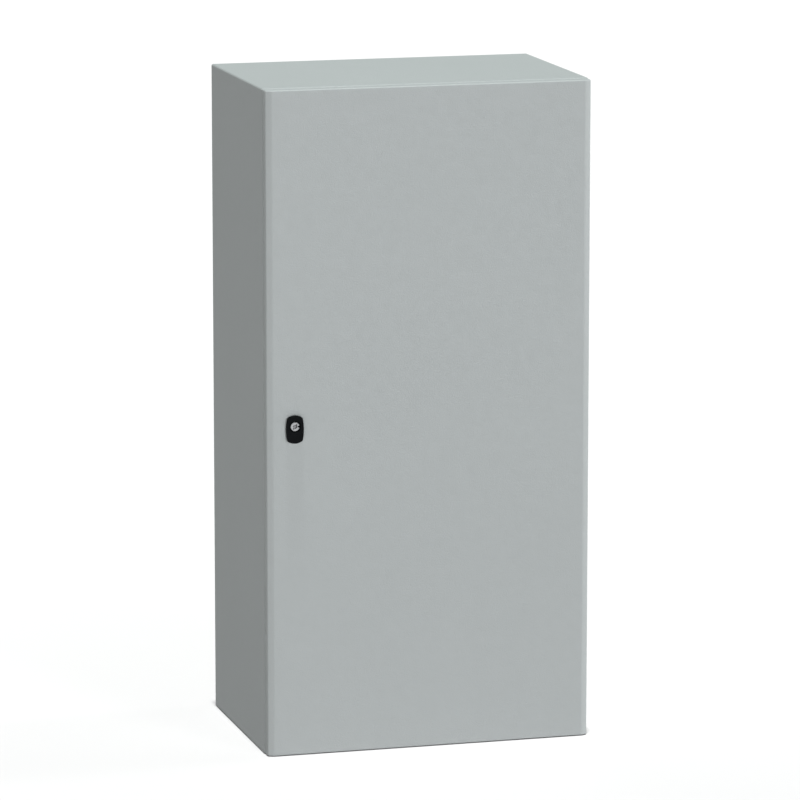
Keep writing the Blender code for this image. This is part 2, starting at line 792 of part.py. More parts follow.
def lock_insert():
    """Turning insert: double-bar socket, a pointer notch, and a square shaft for pinion and cam."""
    front = DOOR_FRONT + BEZEL_PROUD - 0.0008
    profile = [
        (0, 0),
        (INSERT_R - 0.0005, 0),
        (INSERT_R, -0.0005),
        (INSERT_R, NECK_BACK - front),
        (0, NECK_BACK - front),
    ]
    insert = turned("lock_insert", "Y", (LOCK_X, forward(front), LOCK_Z), profile, CHROME)
    shaft = box(
        "lock_shaft",
        (LOCK_X - SHAFT_HALF, forward(NECK_BACK + 0.001), LOCK_Z - SHAFT_HALF),
        (LOCK_X + SHAFT_HALF, forward(CAM_BACK), LOCK_Z + SHAFT_HALF),
    )
    join(insert, shaft)
    socket_deep = 0.0042
    socket = cylinder("lock_socket", "Y", (LOCK_X, forward(front), LOCK_Z), 0.0036,
                      2 * socket_deep, sides=24)
    cut(insert, socket)
    wing = box("lock_socket_wings", (-0.0056, -socket_deep, -0.0011),
               (0.0056, socket_deep, 0.0011))
    tilt = Matrix.Rotation(-math.radians(52), 4, "Y")
    wing.matrix_basis = Matrix.Translation((LOCK_X, forward(front), LOCK_Z)) @ tilt
    cut(insert, wing)
    core_long = socket_deep + 0.001
    core = cylinder("lock_socket_core", "Y",
                    (LOCK_X, forward(front - 0.0006 - core_long / 2), LOCK_Z), 0.0016,
                    core_long, sides=16)
    join(insert, core)
    notch = box(
        "lock_pointer_notch",
        (LOCK_X + 0.0044, forward(front + 0.001), LOCK_Z - 0.0016),
        (LOCK_X + 0.0090, forward(front - 0.0085), LOCK_Z + 0.0016),
    )
    cut(insert, notch)
    thread = cylinder("lock_shaft_thread", "Y", (LOCK_X, forward(CAM_BACK), LOCK_Z), 0.0019,
                      0.018, sides=12)
    return cut(insert, thread)


def involute(angle):
    return math.tan(angle) - angle


def pinion_outline():
    """Twelve involute teeth, with one tooth pointing straight across."""
    base_r = PINION_R * math.cos(PRESSURE_ANGLE)
    root_r = PINION_R - RACK_ADDENDUM - TOOTH_CLEARANCE
    tip_r = PINION_R + PINION_ADDENDUM
    half_at_pitch = (PITCH - BACKLASH) / (4 * PINION_R)
    flank = [root_r] + [base_r + (tip_r - base_r) * i / 3 for i in range(4)]

    def half_angle(radius):
        pressure = math.acos(min(1.0, base_r / max(radius, base_r)))
        return half_at_pitch + involute(PRESSURE_ANGLE) - involute(pressure)

    points = []
    for tooth in range(TEETH):
        middle = 2 * math.pi * tooth / TEETH
        rising = [(radius, middle - half_angle(radius)) for radius in flank]
        falling = [(radius, middle + half_angle(radius)) for radius in reversed(flank)]
        for radius, angle in rising + falling:
            points.append((radius * math.cos(angle), radius * math.sin(angle)))
    return points


def square_cutter(name, forward_low, forward_high):
    """Square hole that slides over the insert's shaft."""
    half = SHAFT_HALF + GAP
    return box(name, (LOCK_X - half, forward(forward_high), LOCK_Z - half),
               (LOCK_X + half, forward(forward_low), LOCK_Z + half))


def lock_pinion():
    pinion = prism("lock_pinion", "Y", pinion_outline(), forward(PINION_FRONT),
                   forward(PINION_BACK), ZINC, at=(LOCK_X, 0, LOCK_Z))
    return cut(pinion, square_cutter("lock_pinion_hole", 0, 0.02))


def lock_cam():
    """Arm that turns behind the body's flange. It hangs down while the door is unlocked."""
    half_wide = 0.0075
    hub_r = 0.0095
    spread = math.degrees(math.asin(half_wide / hub_r))
    tip_corner = 0.004
    outline = arc((0, 0), hub_r, -90 + spread, 270 - spread, 14)
    for sign in (-1, 1):
        start = 180 if sign < 0 else 270
        centre = (sign * (half_wide - tip_corner), tip_corner - CAM_REACH)
        outline += arc(centre, tip_corner, start, start + 90, 3)
    cam = prism("lock_cam", "Y", outline, forward(CAM_FRONT), forward(CAM_BACK), ZINC,
                at=(LOCK_X, 0, LOCK_Z))
    return cut(cam, square_cutter("lock_cam_hole", -0.02, 0.0))


# ---- Lock rods ----


def rack_cutter(name):
    """Takes the metal between and beside the rack's teeth off the upper rod."""
    pitch_line = -PINION_R
    tip = pitch_line + RACK_ADDENDUM
    root = pitch_line - PINION_ADDENDUM - TOOTH_CLEARANCE
    half_tooth = (PITCH - BACKLASH) / 4
    slope = math.tan(PRESSURE_ANGLE)
    half_at_tip = half_tooth - RACK_ADDENDUM * slope
    half_at_root = half_tooth + (PINION_ADDENDUM + TOOTH_CLEARANCE) * slope
    clear = ROD_OUT + ROD_WIDE / 2 + 0.002
    first, last = -5, 1
    outline = [(clear, (first - 1) * PITCH), (root, (first - 1) * PITCH)]
    for tooth in range(first, last + 1):
        middle = (tooth + 0.5) * PITCH
        outline += [
            (root, middle - half_at_root),
            (tip, middle - half_at_tip),
            (tip, middle + half_at_tip),
            (root, middle + half_at_root),
        ]
    top = (last + 1) * PITCH + 0.003
    outline += [(root, top), (clear, top)]
    return prism(name, "Y", outline, forward(0.02), forward(0), at=(LOCK_X, 0, LOCK_Z))


def rod_path():
    """Middle line of the upper rod as (forward, height): straight, cranked back, straight."""
    return [
        (ROD_FORWARD, -0.0240),
        (ROD_FORWARD, 0.5100),
        (ROD_END_FORWARD, 0.5450),
        (ROD_END_FORWARD, TIP_TOP - 0.0040),
    ]


def upper_rod(name):
    """Flat bar, cranked near its end to pass behind the flange, with a rack at the lock."""
    half = ROD_THICK / 2
    path = rod_path()
    crank = math.atan2(path[1][0] - path[2][0], path[2][1] - path[1][1])
    mitre = half * math.tan(crank / 2)
    front = [(path[0][0] + half, path[0][1]), (path[1][0] + half, path[1][1] + mitre),
             (path[2][0] + half, path[2][1] + mitre), (path[3][0] + half, path[3][1])]
    back = [(path[3][0] - half, path[3][1]), (path[2][0] - half, path[2][1] - mitre),
            (path[1][0] - half, path[1][1] - mitre), (path[0][0] - half, path[0][1])]
    outline = [(forward(out), LOCK_Z + up) for out, up in front + back]
    x = LOCK_X + ROD_OUT
    rod = prism(name, "X", outline, x - ROD_WIDE / 2, x + ROD_WIDE / 2, ZINC)
    return cut(rod, rack_cutter(name + "_rack"))


def rod_tip(name):
    """Nylon shoe on the rod's end."""
    x = LOCK_X + ROD_OUT
    low, high = LOCK_Z + TIP_TOP - 0.013, LOCK_Z + TIP_TOP
    shoe = box(name, (x - 0.0073, forward(ROD_END_FORWARD + 0.0028), low),
               (x + 0.0073, forward(ROD_END_FORWARD - 0.0028), high), NYLON)
    soften(shoe, 0.0008)
    pocket = box(
        name + "_pocket",
        (x - ROD_WIDE / 2 - GAP, forward(ROD_END_FORWARD + ROD_THICK / 2 + GAP), low - 0.01),
        (x + ROD_WIDE / 2 + GAP, forward(ROD_END_FORWARD - ROD_THICK / 2 - GAP),
         high - 0.0040 + GAP),
    )
    return cut(shoe, pocket)


def rod_guide(name, up):
    """Block on the door that the upper rod slides through."""
    x = LOCK_X + ROD_OUT
    half_tall = 0.008
    back = ROD_FORWARD - ROD_THICK / 2 - 0.0025
    block = box(name, (x - 0.0081, forward(ON_DOOR), LOCK_Z + up - half_tall),
                (x + 0.0081, forward(back), LOCK_Z + up + half_tall), NYLON)
    soften(block, 0.0008)
    return cut(block, rod_slot(name + "_slot", up, 0.04))


# ---- Assembly ----


def build_body():
    body_shell()
    wall_plugs()
    gland_set()
    mounting_set()
    body_earth_set()
    for i, height in enumerate(HINGE_HEIGHTS, start=1):
        hinge_bracket(f"hinge_bracket_{i}", height)
        hinge_pin(f"hinge_pin_{i}", height)


def build_door(hinge_axis):
    pieces = [door_panel(), door_gasket()]
    pieces.append(door_stiffener("door_stiffener_left", -0.222, -0.197))
    pieces.append(door_stiffener("door_stiffener_right", 0.197, 0.222))
    pieces += door_earth_set()
    for i, height in enumerate(HINGE_HEIGHTS, start=1):
        pieces.append(hinge_leaf(f"hinge_leaf_{i}", height))
    pieces += [lock_bezel(), lock_ring_nut(), lock_case(), lock_cover()]
    for i, sign in enumerate((1, -1), start=1):
        pieces.append(pan_screw(f"lock_cover_screw_{i}", LOCK_Z + sign * CASE_SCREW_UP,
                                COVER_BACK - GAP, 0.0014, 0.0028, 0.0016, 0.009))
    for i, up in enumerate((0.200, 0.470), start=1):
        pieces.append(rod_guide(f"upper_rod_guide_{i}", up))
        pieces.append(half_turn_about_lock(rod_guide(f"lower_rod_guide_{i}", up)))
    hang_on(pieces, hinge_axis)


def build_lock(hinge_axis):
    lock_axis = axis_empty("lock_axis", (LOCK_X, forward(DOOR_FRONT), LOCK_Z))
    cam_screw = pan_screw("lock_cam_screw", LOCK_Z, CAM_BACK - GAP, 0.0016, 0.0060, 0.0025, 0.007)
    hang_on([lock_insert(), lock_pinion(), lock_cam(), cam_screw], lock_axis)
    x = LOCK_X + ROD_OUT
    upper_slide = axis_empty("upper_rod_slide", (x, forward(ROD_FORWARD), LOCK_Z))
    hang_on([upper_rod("upper_rod"), rod_tip("upper_rod_tip")], upper_slide)
    x = LOCK_X - ROD_OUT
    lower_slide = axis_empty("lower_rod_slide", (x, forward(ROD_FORWARD), LOCK_Z))
    lower = [upper_rod("lower_rod"), rod_tip("lower_rod_tip")]
    hang_on([half_turn_about_lock(piece) for piece in lower], lower_slide)
    hang_on([lock_axis, upper_slide, lower_slide], hinge_axis)


hinge_axis_empty = axis_empty("door_axis", (HINGE_X, forward(HINGE_FORWARD), 0))
build_body()
build_door(hinge_axis_empty)
build_lock(hinge_axis_empty)
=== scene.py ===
"""Looks for the single-door steel switchboard enclosure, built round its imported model.

Metres, +Z up, front facing -Y. Every piece replaces the CAD node that it is named after and
rides on the same body. Depths in the door are "forward" distances, measured towards the
viewer from the plane of the body's front flange.
"""

import json
import math

import bmesh
import bpy
from mathutils import Matrix, Vector, noise


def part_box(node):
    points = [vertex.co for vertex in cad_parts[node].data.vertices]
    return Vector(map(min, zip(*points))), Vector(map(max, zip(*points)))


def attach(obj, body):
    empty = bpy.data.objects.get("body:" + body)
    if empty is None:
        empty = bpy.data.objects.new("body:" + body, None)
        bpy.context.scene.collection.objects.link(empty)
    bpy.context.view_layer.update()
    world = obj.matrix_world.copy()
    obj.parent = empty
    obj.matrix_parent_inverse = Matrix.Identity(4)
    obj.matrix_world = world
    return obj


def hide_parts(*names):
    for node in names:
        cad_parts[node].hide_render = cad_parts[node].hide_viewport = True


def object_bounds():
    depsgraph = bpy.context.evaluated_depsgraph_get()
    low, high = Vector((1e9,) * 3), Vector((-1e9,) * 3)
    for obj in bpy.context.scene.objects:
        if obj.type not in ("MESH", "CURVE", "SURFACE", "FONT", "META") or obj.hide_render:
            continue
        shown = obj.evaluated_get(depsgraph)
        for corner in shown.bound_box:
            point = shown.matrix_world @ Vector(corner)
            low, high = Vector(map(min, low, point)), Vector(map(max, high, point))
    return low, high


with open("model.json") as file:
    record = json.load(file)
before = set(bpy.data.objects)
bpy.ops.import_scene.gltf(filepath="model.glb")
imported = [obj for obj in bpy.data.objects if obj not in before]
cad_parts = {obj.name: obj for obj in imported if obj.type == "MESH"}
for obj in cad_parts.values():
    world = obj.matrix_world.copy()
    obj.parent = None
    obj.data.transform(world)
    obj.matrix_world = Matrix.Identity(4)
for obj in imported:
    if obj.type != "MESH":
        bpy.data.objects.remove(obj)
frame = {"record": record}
cad_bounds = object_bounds()

# ---- Sizes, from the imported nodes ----

SHELL_LOW, SHELL_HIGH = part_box("body_shell")
DOOR_LOW, DOOR_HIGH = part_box("door_panel")
PLATE_LOW, PLATE_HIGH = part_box("mounting_plate")
BEZEL_LOW, BEZEL_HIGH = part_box("lock_bezel")
INSERT_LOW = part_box("lock_insert")[0]
GLAND_LOW, GLAND_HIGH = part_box("gland_plate")
JOINTS = {joint["name"]: joint for joint in frame["record"]["behaviour"]["joints"]}
BODY_OF = {
    node: body
    for body, nodes in frame["record"]["behaviour"]["bodies"].items()
    for node in nodes
}
SLOT_OF = {part["node"]: part["material_slot"] for part in frame["record"]["subparts"]}

HALF_WIDTH = SHELL_HIGH.x
HEIGHT = SHELL_HIGH.z
BACK_Y = SHELL_HIGH.y
GAP = 0.0003

BODY_SHEET = 0.0015
BODY_BEND = 0.0025
FLANGE = 0.025
LIP_SHEET = 0.003
LIP_FORWARD = 0.012
FLANGE_Y = SHELL_LOW.y + LIP_FORWARD

DOOR_SHEET = 0.002
DOOR_BACK = 0.003
DOOR_FRONT = FLANGE_Y - DOOR_LOW.y
DOOR_INSIDE = DOOR_FRONT - DOOR_SHEET
ON_DOOR = DOOR_INSIDE - GAP
CHAMFER_WIDE = 0.011
CHAMFER_DEEP = 0.0047
DOOR_BEND = 0.0022
BEND_FULLNESS = 0.34  # a bevel profile of 0.5 would be a true arc

SEAL_WIDE = 0.010
SEAL_MIDDLE = FLANGE + LIP_SHEET / 2

HINGE_X, HINGE_Y = JOINTS["door_hinge"]["pos_m"][:2]
HINGE_HEIGHTS = (0.120, 0.600, 1.080)
KNUCKLE_R = 0.005
KNUCKLE_BORE_R = 0.0025
PIN_R = KNUCKLE_BORE_R - GAP
BRACKET_HALF = 0.011
LUG_TOP = 0.0235
HINGE_NOTCH_HALF = 0.013

LOCK_X, _, LOCK_Z = JOINTS["lock_turn"]["pos_m"]
LOCK_HALF_WIDE = 0.0193
LOCK_HALF_TALL = 0.032
CASE_WALL = 0.0012
CASE_BACK = 0.003
COVER_BACK = 0.0007
CASE_SCREW_UP = 0.0255
NECK_R = 0.011
NECK_BACK = 0.014
RING_NUT_FLATS = 0.027
INSERT_R = 0.008
SHAFT_HALF = 0.0035
CAM_FRONT, CAM_BACK = -0.003, -0.006
CAM_REACH = 0.0415

TEETH = 12
PITCH = 0.005
PINION_R = TEETH * PITCH / (2 * math.pi)
PRESSURE_ANGLE = math.radians(20)
PINION_ADDENDUM = 0.0014
RACK_ADDENDUM = 0.0011
TOOTH_CLEARANCE = 0.0003
BACKLASH = 0.0003
PINION_FRONT, PINION_BACK = 0.0125, 0.0075

ROD_WIDE = 0.012
ROD_THICK = 0.004
ROD_OUT = -0.0115
ROD_FORWARD = 0.010
ROD_END_FORWARD = -0.005
TIP_TOP = 0.570
TIP_CAP = 0.004

M8_R = 0.004
M8_PITCH = 0.00125
M8_FLATS = 0.013

GLAND_CORNER = 0.006
GLAND_MIDDLE = (0, (GLAND_LOW.y + GLAND_HIGH.y) / 2, 0)

AXES = {
    "X": Matrix(((0, 0, 1), (1, 0, 0), (0, 1, 0))),
    "Y": Matrix(((1, 0, 0), (0, 0, -1), (0, 1, 0))),
    "Z": Matrix.Identity(3),
}
SMOOTH_BELOW = math.radians(32)
HAIR = 1e-6  # metres, below this two corners are one


def forward(distance):
    """The Y of a plane this far in front of the body's flange."""
    return FLANGE_Y - distance


# ---- Materials ----

MATERIALS = {}


def feed(node, inputs):
    """Sets a shader node's inputs from values, or links them from output sockets."""
    for name, value in inputs.items():
        if isinstance(value, bpy.types.NodeSocket):
            node.id_data.links.new(value, node.inputs[name])
        else:
            node.inputs[name].default_value = value


def add_node(tree, kind, inputs=None, **settings):
    made = tree.nodes.new("ShaderNode" + kind)
    for name, value in settings.items():
        setattr(made, name, value)
    feed(made, inputs or {})
    return made


def new_material(name):
    material = MATERIALS[name] = bpy.data.materials.new(name)
    material.use_nodes = True
    tree = material.node_tree
    shader = tree.nodes["Principled BSDF"]
    place = add_node(tree, "TexCoord").outputs["Object"]
    return shader, place


def noise_at(place, scale, detail=2.0, roughness=0.5, stretch=(1, 1, 1)):
    """Noise of this many cells per metre."""
    tree = place.id_data
    if stretch != (1, 1, 1):
        mapping = add_node(tree, "Mapping", {"Vector": place, "Scale": stretch})
        place = mapping.outputs[0]
    made = add_node(tree, "TexNoise", {
        "Vector": place, "Scale": scale, "Detail": detail, "Roughness": roughness,
    })
    return made.outputs["Fac"]


def spread(value, low, high, start=0.0, end=1.0):
    """Maps start..end to low..high."""
    made = add_node(value.id_data, "MapRange", {
        "Value": value, "From Min": start, "From Max": end, "To Min": low, "To Max": high,
    })
    return made.outputs["Result"]


def between(value, start, end, first, second):
    """Goes from the first colour to the second as the value goes from start to end."""
    made = add_node(value.id_data, "Mix", data_type="RGBA")
    feed(made, {0: spread(value, 0, 1, start, end), 6: (*first, 1), 7: (*second, 1)})
    return made.outputs[2]


def bump(height, deep, below=None):
    """Raises the surface by up to this many metres."""
    inputs = {"Height": height, "Distance": deep, "Strength": 1.0}
    if below is not None:
        inputs["Normal"] = below
    return add_node(height.id_data, "Bump", inputs).outputs["Normal"]


def vector_math(operation, *operands):
    tree = operands[0].id_data
    return add_node(tree, "VectorMath", dict(enumerate(operands)), operation=operation)


def total(first, second):
    made = add_node(first.id_data, "Math", {0: first, 1: second}, operation="ADD")
    return made.outputs[0]


def tinted(colour, gain):
    return tuple(channel * gain for channel in colour)


def powder_coat():
    """Light grey polyester powder with its orange peel, stretched a little along the sheet."""
    shader, place = new_material("powder_coat")
    grey = (0.377, 0.396, 0.396)
    cloud = noise_at(place, 4, detail=3)
    speck = noise_at(place, 900, detail=2)
    tone = total(spread(cloud, 0.1, 0.9), speck)
    level = (1.0, 1.0, 1.7)
    peel = bump(noise_at(place, 140, detail=1, stretch=level), 0.00021)
    finer = noise_at(place, 430, detail=1, stretch=level)
    feed(shader, {
        "Base Color": between(tone, 0.4, 1.6, tinted(grey, 0.975), tinted(grey, 1.025)),
        "Specular IOR Level": 0.0,
        "Metallic": 0.10,
        "Roughness": spread(noise_at(place, 60, detail=3), 0.46, 0.58, 0.3, 0.7),
        "Normal": bump(finer, 0.00040, peel),
    })


def zinc_plated():
    """Bright passivated zinc, faintly blue and yellow in patches, with fine drawn marks."""
    shader, place = new_material("zinc_plated")
    patch = noise_at(place, 55, detail=4, roughness=0.6)
    marks = noise_at(place, 1500, detail=2, stretch=(1, 1, 0.12))
    feed(shader, {
        "Base Color": between(patch, 0.35, 0.65, (0.60, 0.62, 0.65), (0.70, 0.68, 0.62)),
        "Metallic": 1.0,
        "Roughness": spread(noise_at(place, 400, detail=3), 0.26, 0.44, 0.3, 0.7),
        "Normal": bump(marks, 0.000012),
    })


def galvanised():
    """Hot-dip sheet: crystals of zinc, each with its own grey and gloss."""
    shader, place = new_material("galvanised")
    tree = shader.id_data
    wander = add_node(tree, "TexNoise", {"Vector": place, "Scale": 90, "Detail": 3})
    bent = add_node(tree, "Mix", data_type="VECTOR")
    feed(bent, {0: 0.012, 4: place, 5: wander.outputs["Color"]})
    crystal = add_node(tree, "TexVoronoi", {"Vector": bent.outputs[1], "Scale": 95.0})
    grain = add_node(tree, "SeparateColor", {"Color": crystal.outputs["Color"]})
    feather = noise_at(place, 700, detail=3, roughness=0.6)
    tone = total(grain.outputs[0], feather)
    relief = bump(crystal.outputs["Distance"], 0.00002)
    feed(shader, {
        "Base Color": between(tone, 0.3, 1.7, (0.50, 0.52, 0.54), (0.66, 0.68, 0.70)),
        "Metallic": 1.0,
        "Roughness": spread(grain.outputs[1], 0.34, 0.56),
        "Normal": bump(feather, 0.000012, relief),
    })


def moulded(name, dark, light, rough_low, rough_high, shine):
    """Moulded plastic with a fine spark-eroded grain."""
    shader, place = new_material(name)
    cloud = noise_at(place, 120, detail=3)
    fine = noise_at(place, 700, detail=2)
    feed(shader, {
        "Base Color": between(cloud, 0.3, 0.7, dark, light),
        "Specular IOR Level": shine,
        "Roughness": spread(fine, rough_low, rough_high, 0.3, 0.7),
        "Normal": bump(noise_at(place, 2600, detail=2), 0.000016),
    })


def plated_zamak():
    """Satin nickel on a die casting, with fine rings about the lock's axis."""
    shader, place = new_material("plated_zamak")
    out = vector_math("SUBTRACT", place, (LOCK_X, 0.0, LOCK_Z)).outputs[0]
    flat = vector_math("MULTIPLY", out, (1.0, 0.0, 1.0)).outputs[0]
    radius = vector_math("LENGTH", flat).outputs["Value"]
    rings = add_node(radius.id_data, "TexNoise", {"W": radius, "Scale": 2600, "Detail": 2},
                     noise_dimensions="1D").outputs["Fac"]
    patch = noise_at(place, 240, detail=3)
    feed(shader, {
        "Base Color": between(patch, 0.35, 0.65, (0.31, 0.31, 0.315), (0.37, 0.37, 0.375)),
        "Metallic": 1.0,
        "Roughness": spread(patch, 0.54, 0.66, 0.3, 0.7),
        "Normal": bump(rings, 0.000010),
    })


def seal_foam():
    """Poured polyurethane foam: dull, with a skin pitted by small cells."""
    shader, place = new_material("seal_foam")
    cloud = noise_at(place, 150, detail=4)
    cells = add_node(place.id_data, "TexVoronoi", {"Vector": place, "Scale": 1400.0},
                     feature="SMOOTH_F1").outputs["Distance"]
    skin = bump(cells, 0.00012)
    feed(shader, {
        "Base Color": between(cloud, 0.3, 0.7, (0.022, 0.022, 0.024), (0.042, 0.042, 0.044)),
        "Roughness": 0.9,
        "Sheen Weight": 0.25,
        "Sheen Roughness": 0.6,
        "Normal": bump(noise_at(place, 260, detail=2), 0.0002, skin),
    })


powder_coat()
zinc_plated()
galvanised()
moulded("black_plastic", (0.0034, 0.0038, 0.0044), (0.0050, 0.0056, 0.0064),
        rough_low=0.36, rough_high=0.50, shine=0.03)
plated_zamak()
seal_foam()
moulded("nylon", (0.030, 0.031, 0.033), (0.042, 0.043, 0.045),
        rough_low=0.48, rough_high=0.62, shine=0.3)


# ---- Building blocks: every mesh is in the row frame ----


def add_object(name, bm, matrix=None):
    if matrix is not None:
        bmesh.ops.transform(bm, matrix=matrix, verts=bm.verts)
    bmesh.ops.recalc_face_normals(bm, faces=bm.faces)
    mesh = bpy.data.meshes.new(name)
    bm.to_mesh(mesh)
    bm.free()
    obj = bpy.data.objects.new(name, mesh)
    bpy.context.scene.collection.objects.link(obj)
    return obj


def box(name, low, high):
    low, high = Vector(low), Vector(high)
    bm = bmesh.new()
    bmesh.ops.create_cube(bm, size=1, matrix=Matrix.Diagonal(high - low).to_4x4())
    return add_object(name, bm, Matrix.Translation((low + high) / 2))


def loft(name, loops, closed_ends=True, ring=False, matrix=None):
    """Skins loops of equal length. A loop of one point is a pole."""
    bm = bmesh.new()
    rows = [[bm.verts.new(point) for point in loop] for loop in loops]
    pairs = list(zip(rows, rows[1:]))
    if ring:
        pairs.append((rows[-1], rows[0]))
    for first, second in pairs:
        count = max(len(first), len(second))
        for i in range(count):
            k = (i + 1) % count
            corners = [first[i % len(first)]]
            if len(first) > 1:
                corners.append(first[k])
            if len(second) > 1:
                corners.append(second[k])
            corners.append(second[i % len(second)])
            bm.faces.new(corners)
    if closed_ends and not ring:
        for row in (rows[0], rows[-1]):
            if len(row) > 2:
                bm.faces.new(row)
    return add_object(name, bm, matrix)


def prism(name, axis, outline, low, high, at=(0, 0, 0)):
    """A flat outline drawn square to an axis, from low to high along that axis."""
    half = (high - low) / 2
    middle = Vector((0, 0, 0))
    middle["XYZ".index(axis)] = (low + high) / 2
    matrix = Matrix.Translation(middle + Vector(at)) @ AXES[axis].to_4x4()
    loops = [[(across, up, end) for across, up in outline] for end in (-half, half)]
    return loft(name, loops, matrix=matrix)


def turned(name, axis, centre, profile, sides=64, lead=0.0):
    """A solid of revolution. The profile holds (radius, height) pairs, from the top down.

    A profile that starts on the axis gives a solid piece, whose flat ends are single faces.
    """
    turns = [2 * math.pi * (i + lead) / sides for i in range(sides)]
    points = list(profile)
    ring = points[0][0] > 0
    if not ring:
        for end, beside in ((0, 1), (-1, -2)):
            if points[end][1] == points[beside][1]:
                points.pop(end)
    loops = [
        [(0, 0, height)] if radius < 1e-9 else
        [(radius * math.cos(turn), radius * math.sin(turn), height) for turn in turns]
        for radius, height in points
    ]
    matrix = Matrix.Translation(centre) @ AXES[axis].to_4x4()
    return loft(name, loops, ring=ring, matrix=matrix)


def cylinder(name, axis, centre, radius, length, sides=48):
    """Its corners are turned off those of a coaxial piece, which keeps their cuts clean."""
    half = length / 2
    profile = [(0, half), (radius, half), (radius, -half), (0, -half)]
    return turned(name, axis, centre, profile, sides, lead=0.37)


def bake(obj):
    """Makes the modifiers' result the mesh."""
    graph = bpy.context.evaluated_depsgraph_get()
    mesh = bpy.data.meshes.new_from_object(obj.evaluated_get(graph), depsgraph=graph)
    obj.modifiers.clear()
    old, obj.data = obj.data, mesh
    bpy.data.meshes.remove(old)
    return obj


def round_edges(obj, width, segments=3, above=30, fullness=0.5):
    bevel = obj.modifiers.new("round", "BEVEL")
    bevel.profile = fullness
    bevel.width = width
    bevel.segments = segments
    bevel.limit_method = "ANGLE"
    bevel.angle_limit = math.radians(above)
    bevel.use_clamp_overlap = False
    return bake(obj)


def combine(obj, others, operation):
    for other in others:
        boolean = obj.modifiers.new("combine", "BOOLEAN")
        boolean.operation = operation
        boolean.solver = "EXACT"
        boolean.object = other
    bake(obj)
    for other in others:
        mesh = other.data
        bpy.data.objects.remove(other, do_unlink=True)
        bpy.data.meshes.remove(mesh)
    return obj


def cut(obj, *cutters):
    return combine(obj, cutters, "DIFFERENCE")


def join(obj, *others):
    return combine(obj, others, "UNION")


def arc(centre, radius, start, end, steps):
    """Points on an arc, angles in degrees."""
    points = []
    for i in range(steps + 1):
        angle = math.radians(start + (end - start) * i / steps)
        points.append((centre[0] + radius * math.cos(angle),
                       centre[1] + radius * math.sin(angle)))
    return points


def rounded_box_outline(half_wide, half_tall, radius, steps=8):
    across, up = half_wide - radius, half_tall - radius
    points = []
    for corner, (sx, sy) in enumerate(((1, 1), (-1, 1), (-1, -1), (1, -1))):
        points += arc((sx * across, sy * up), radius, 90 * corner, 90 * corner + 90, steps)
    return points


def node_outline(node, axes, corner, inset=0.0):
    """The node's rectangle across two axes, about its centre, with round corners."""
    low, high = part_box(node)
    across, up = ((high["XYZ".index(axis)] - low["XYZ".index(axis)]) / 2 for axis in axes)
    return rounded_box_outline(across - inset, up - inset, corner)


def filleted(points, radii, steps=6):
    """The outline with its corners rounded. A radius of nought leaves a corner sharp."""
    result = []
    for i, (corner, radius) in enumerate(zip(points, radii)):
        corner = Vector(corner)
        if not radius:
            result.append(tuple(corner))
            continue
        before = (Vector(points[i - 1]) - corner).normalized()
        after = (Vector(points[(i + 1) % len(points)]) - corner).normalized()
        half = before.angle(after) / 2
        centre = corner + (before + after).normalized() * radius / math.sin(half)
        start = corner + before * radius / math.tan(half) - centre
        end = corner + after * radius / math.tan(half) - centre
        swing = start.angle_signed(end)
        for k in range(steps + 1):
            spoke = Matrix.Rotation(-swing * k / steps, 2) @ start
            result.append(tuple(centre + spoke))
    return result


def frame_sweep(name, profile, corner, steps=8):
    """Sweeps a closed profile round the front, as (inset, forward) pairs with round corners.

    The corner radius belongs to the profile's first point. Others keep the same centres.
    """
    loops = []
    middle = HEIGHT / 2
    for inset, out in profile:
        radius = max(corner - (inset - profile[0][0]), 0.0001)
        outline = rounded_box_outline(HALF_WIDTH - inset, middle - inset, radius, steps)
        loops.append([(x, forward(out), middle + z) for x, z in outline])
    return loft(name, loops, ring=True)


def centres(name, count):
    """Where the centres of the numbered nodes of one kind are."""
    boxes = [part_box(f"{name}_{i}") for i in range(1, count + 1)]
    return [tuple((low + high) / 2 for low, high in zip(*corners)) for corners in boxes]


def on_lock(out, up=0.0):
    """A point on the lock's axis or above it, this far in front of the body's flange."""
    return (LOCK_X, forward(out), LOCK_Z + up)


def half_turn(obj):
    """Turns a piece of the upper half of the lock into its partner in the lower half."""
    centre = Matrix.Translation((LOCK_X, 0, LOCK_Z))
    obj.data.transform(centre @ Matrix.Rotation(math.pi, 4, "Y") @ centre.inverted())
    return obj


def weld(mesh):
    """Closes the hair-thin faces that a cut or a bevel can leave."""
    bm = bmesh.new()
    bm.from_mesh(mesh)
    bmesh.ops.remove_doubles(bm, verts=bm.verts, dist=HAIR)
    bmesh.ops.dissolve_degenerate(bm, edges=bm.edges, dist=HAIR)
    bm.to_mesh(mesh)
    bm.free()


def show(obj, node, edge=0.00025, segments=2, above=30):
    """Gives the piece fine edges, its material and its body, in place of its CAD node."""
    obj.name = node + "_shown"
    obj.data.name = obj.name
    slot = SLOT_OF[node]
    obj.data.materials.clear()
    obj.data.materials.append(MATERIALS[slot])
    if edge:
        bevel = obj.modifiers.new("edges", "BEVEL")
        bevel.width = edge
        bevel.segments = segments
        bevel.limit_method = "ANGLE"
        bevel.angle_limit = math.radians(above)
        bevel.use_clamp_overlap = False
        bevel.miter_outer = "MITER_ARC"
        bake(obj)
    mesh = obj.data
    weld(mesh)
    mesh.shade_smooth()
    mesh.set_sharp_from_angle(angle=SMOOTH_BELOW)
    normals = obj.modifiers.new("normals", "WEIGHTED_NORMAL")
    normals.keep_sharp = True
    normals.weight = 80
    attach(obj, BODY_OF[node])
    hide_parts(node)
    return obj


# ---- Fasteners ----


def hex_outline(across_flats):
    return arc((0, 0), across_flats / math.sqrt(3), 0, 300, 5)


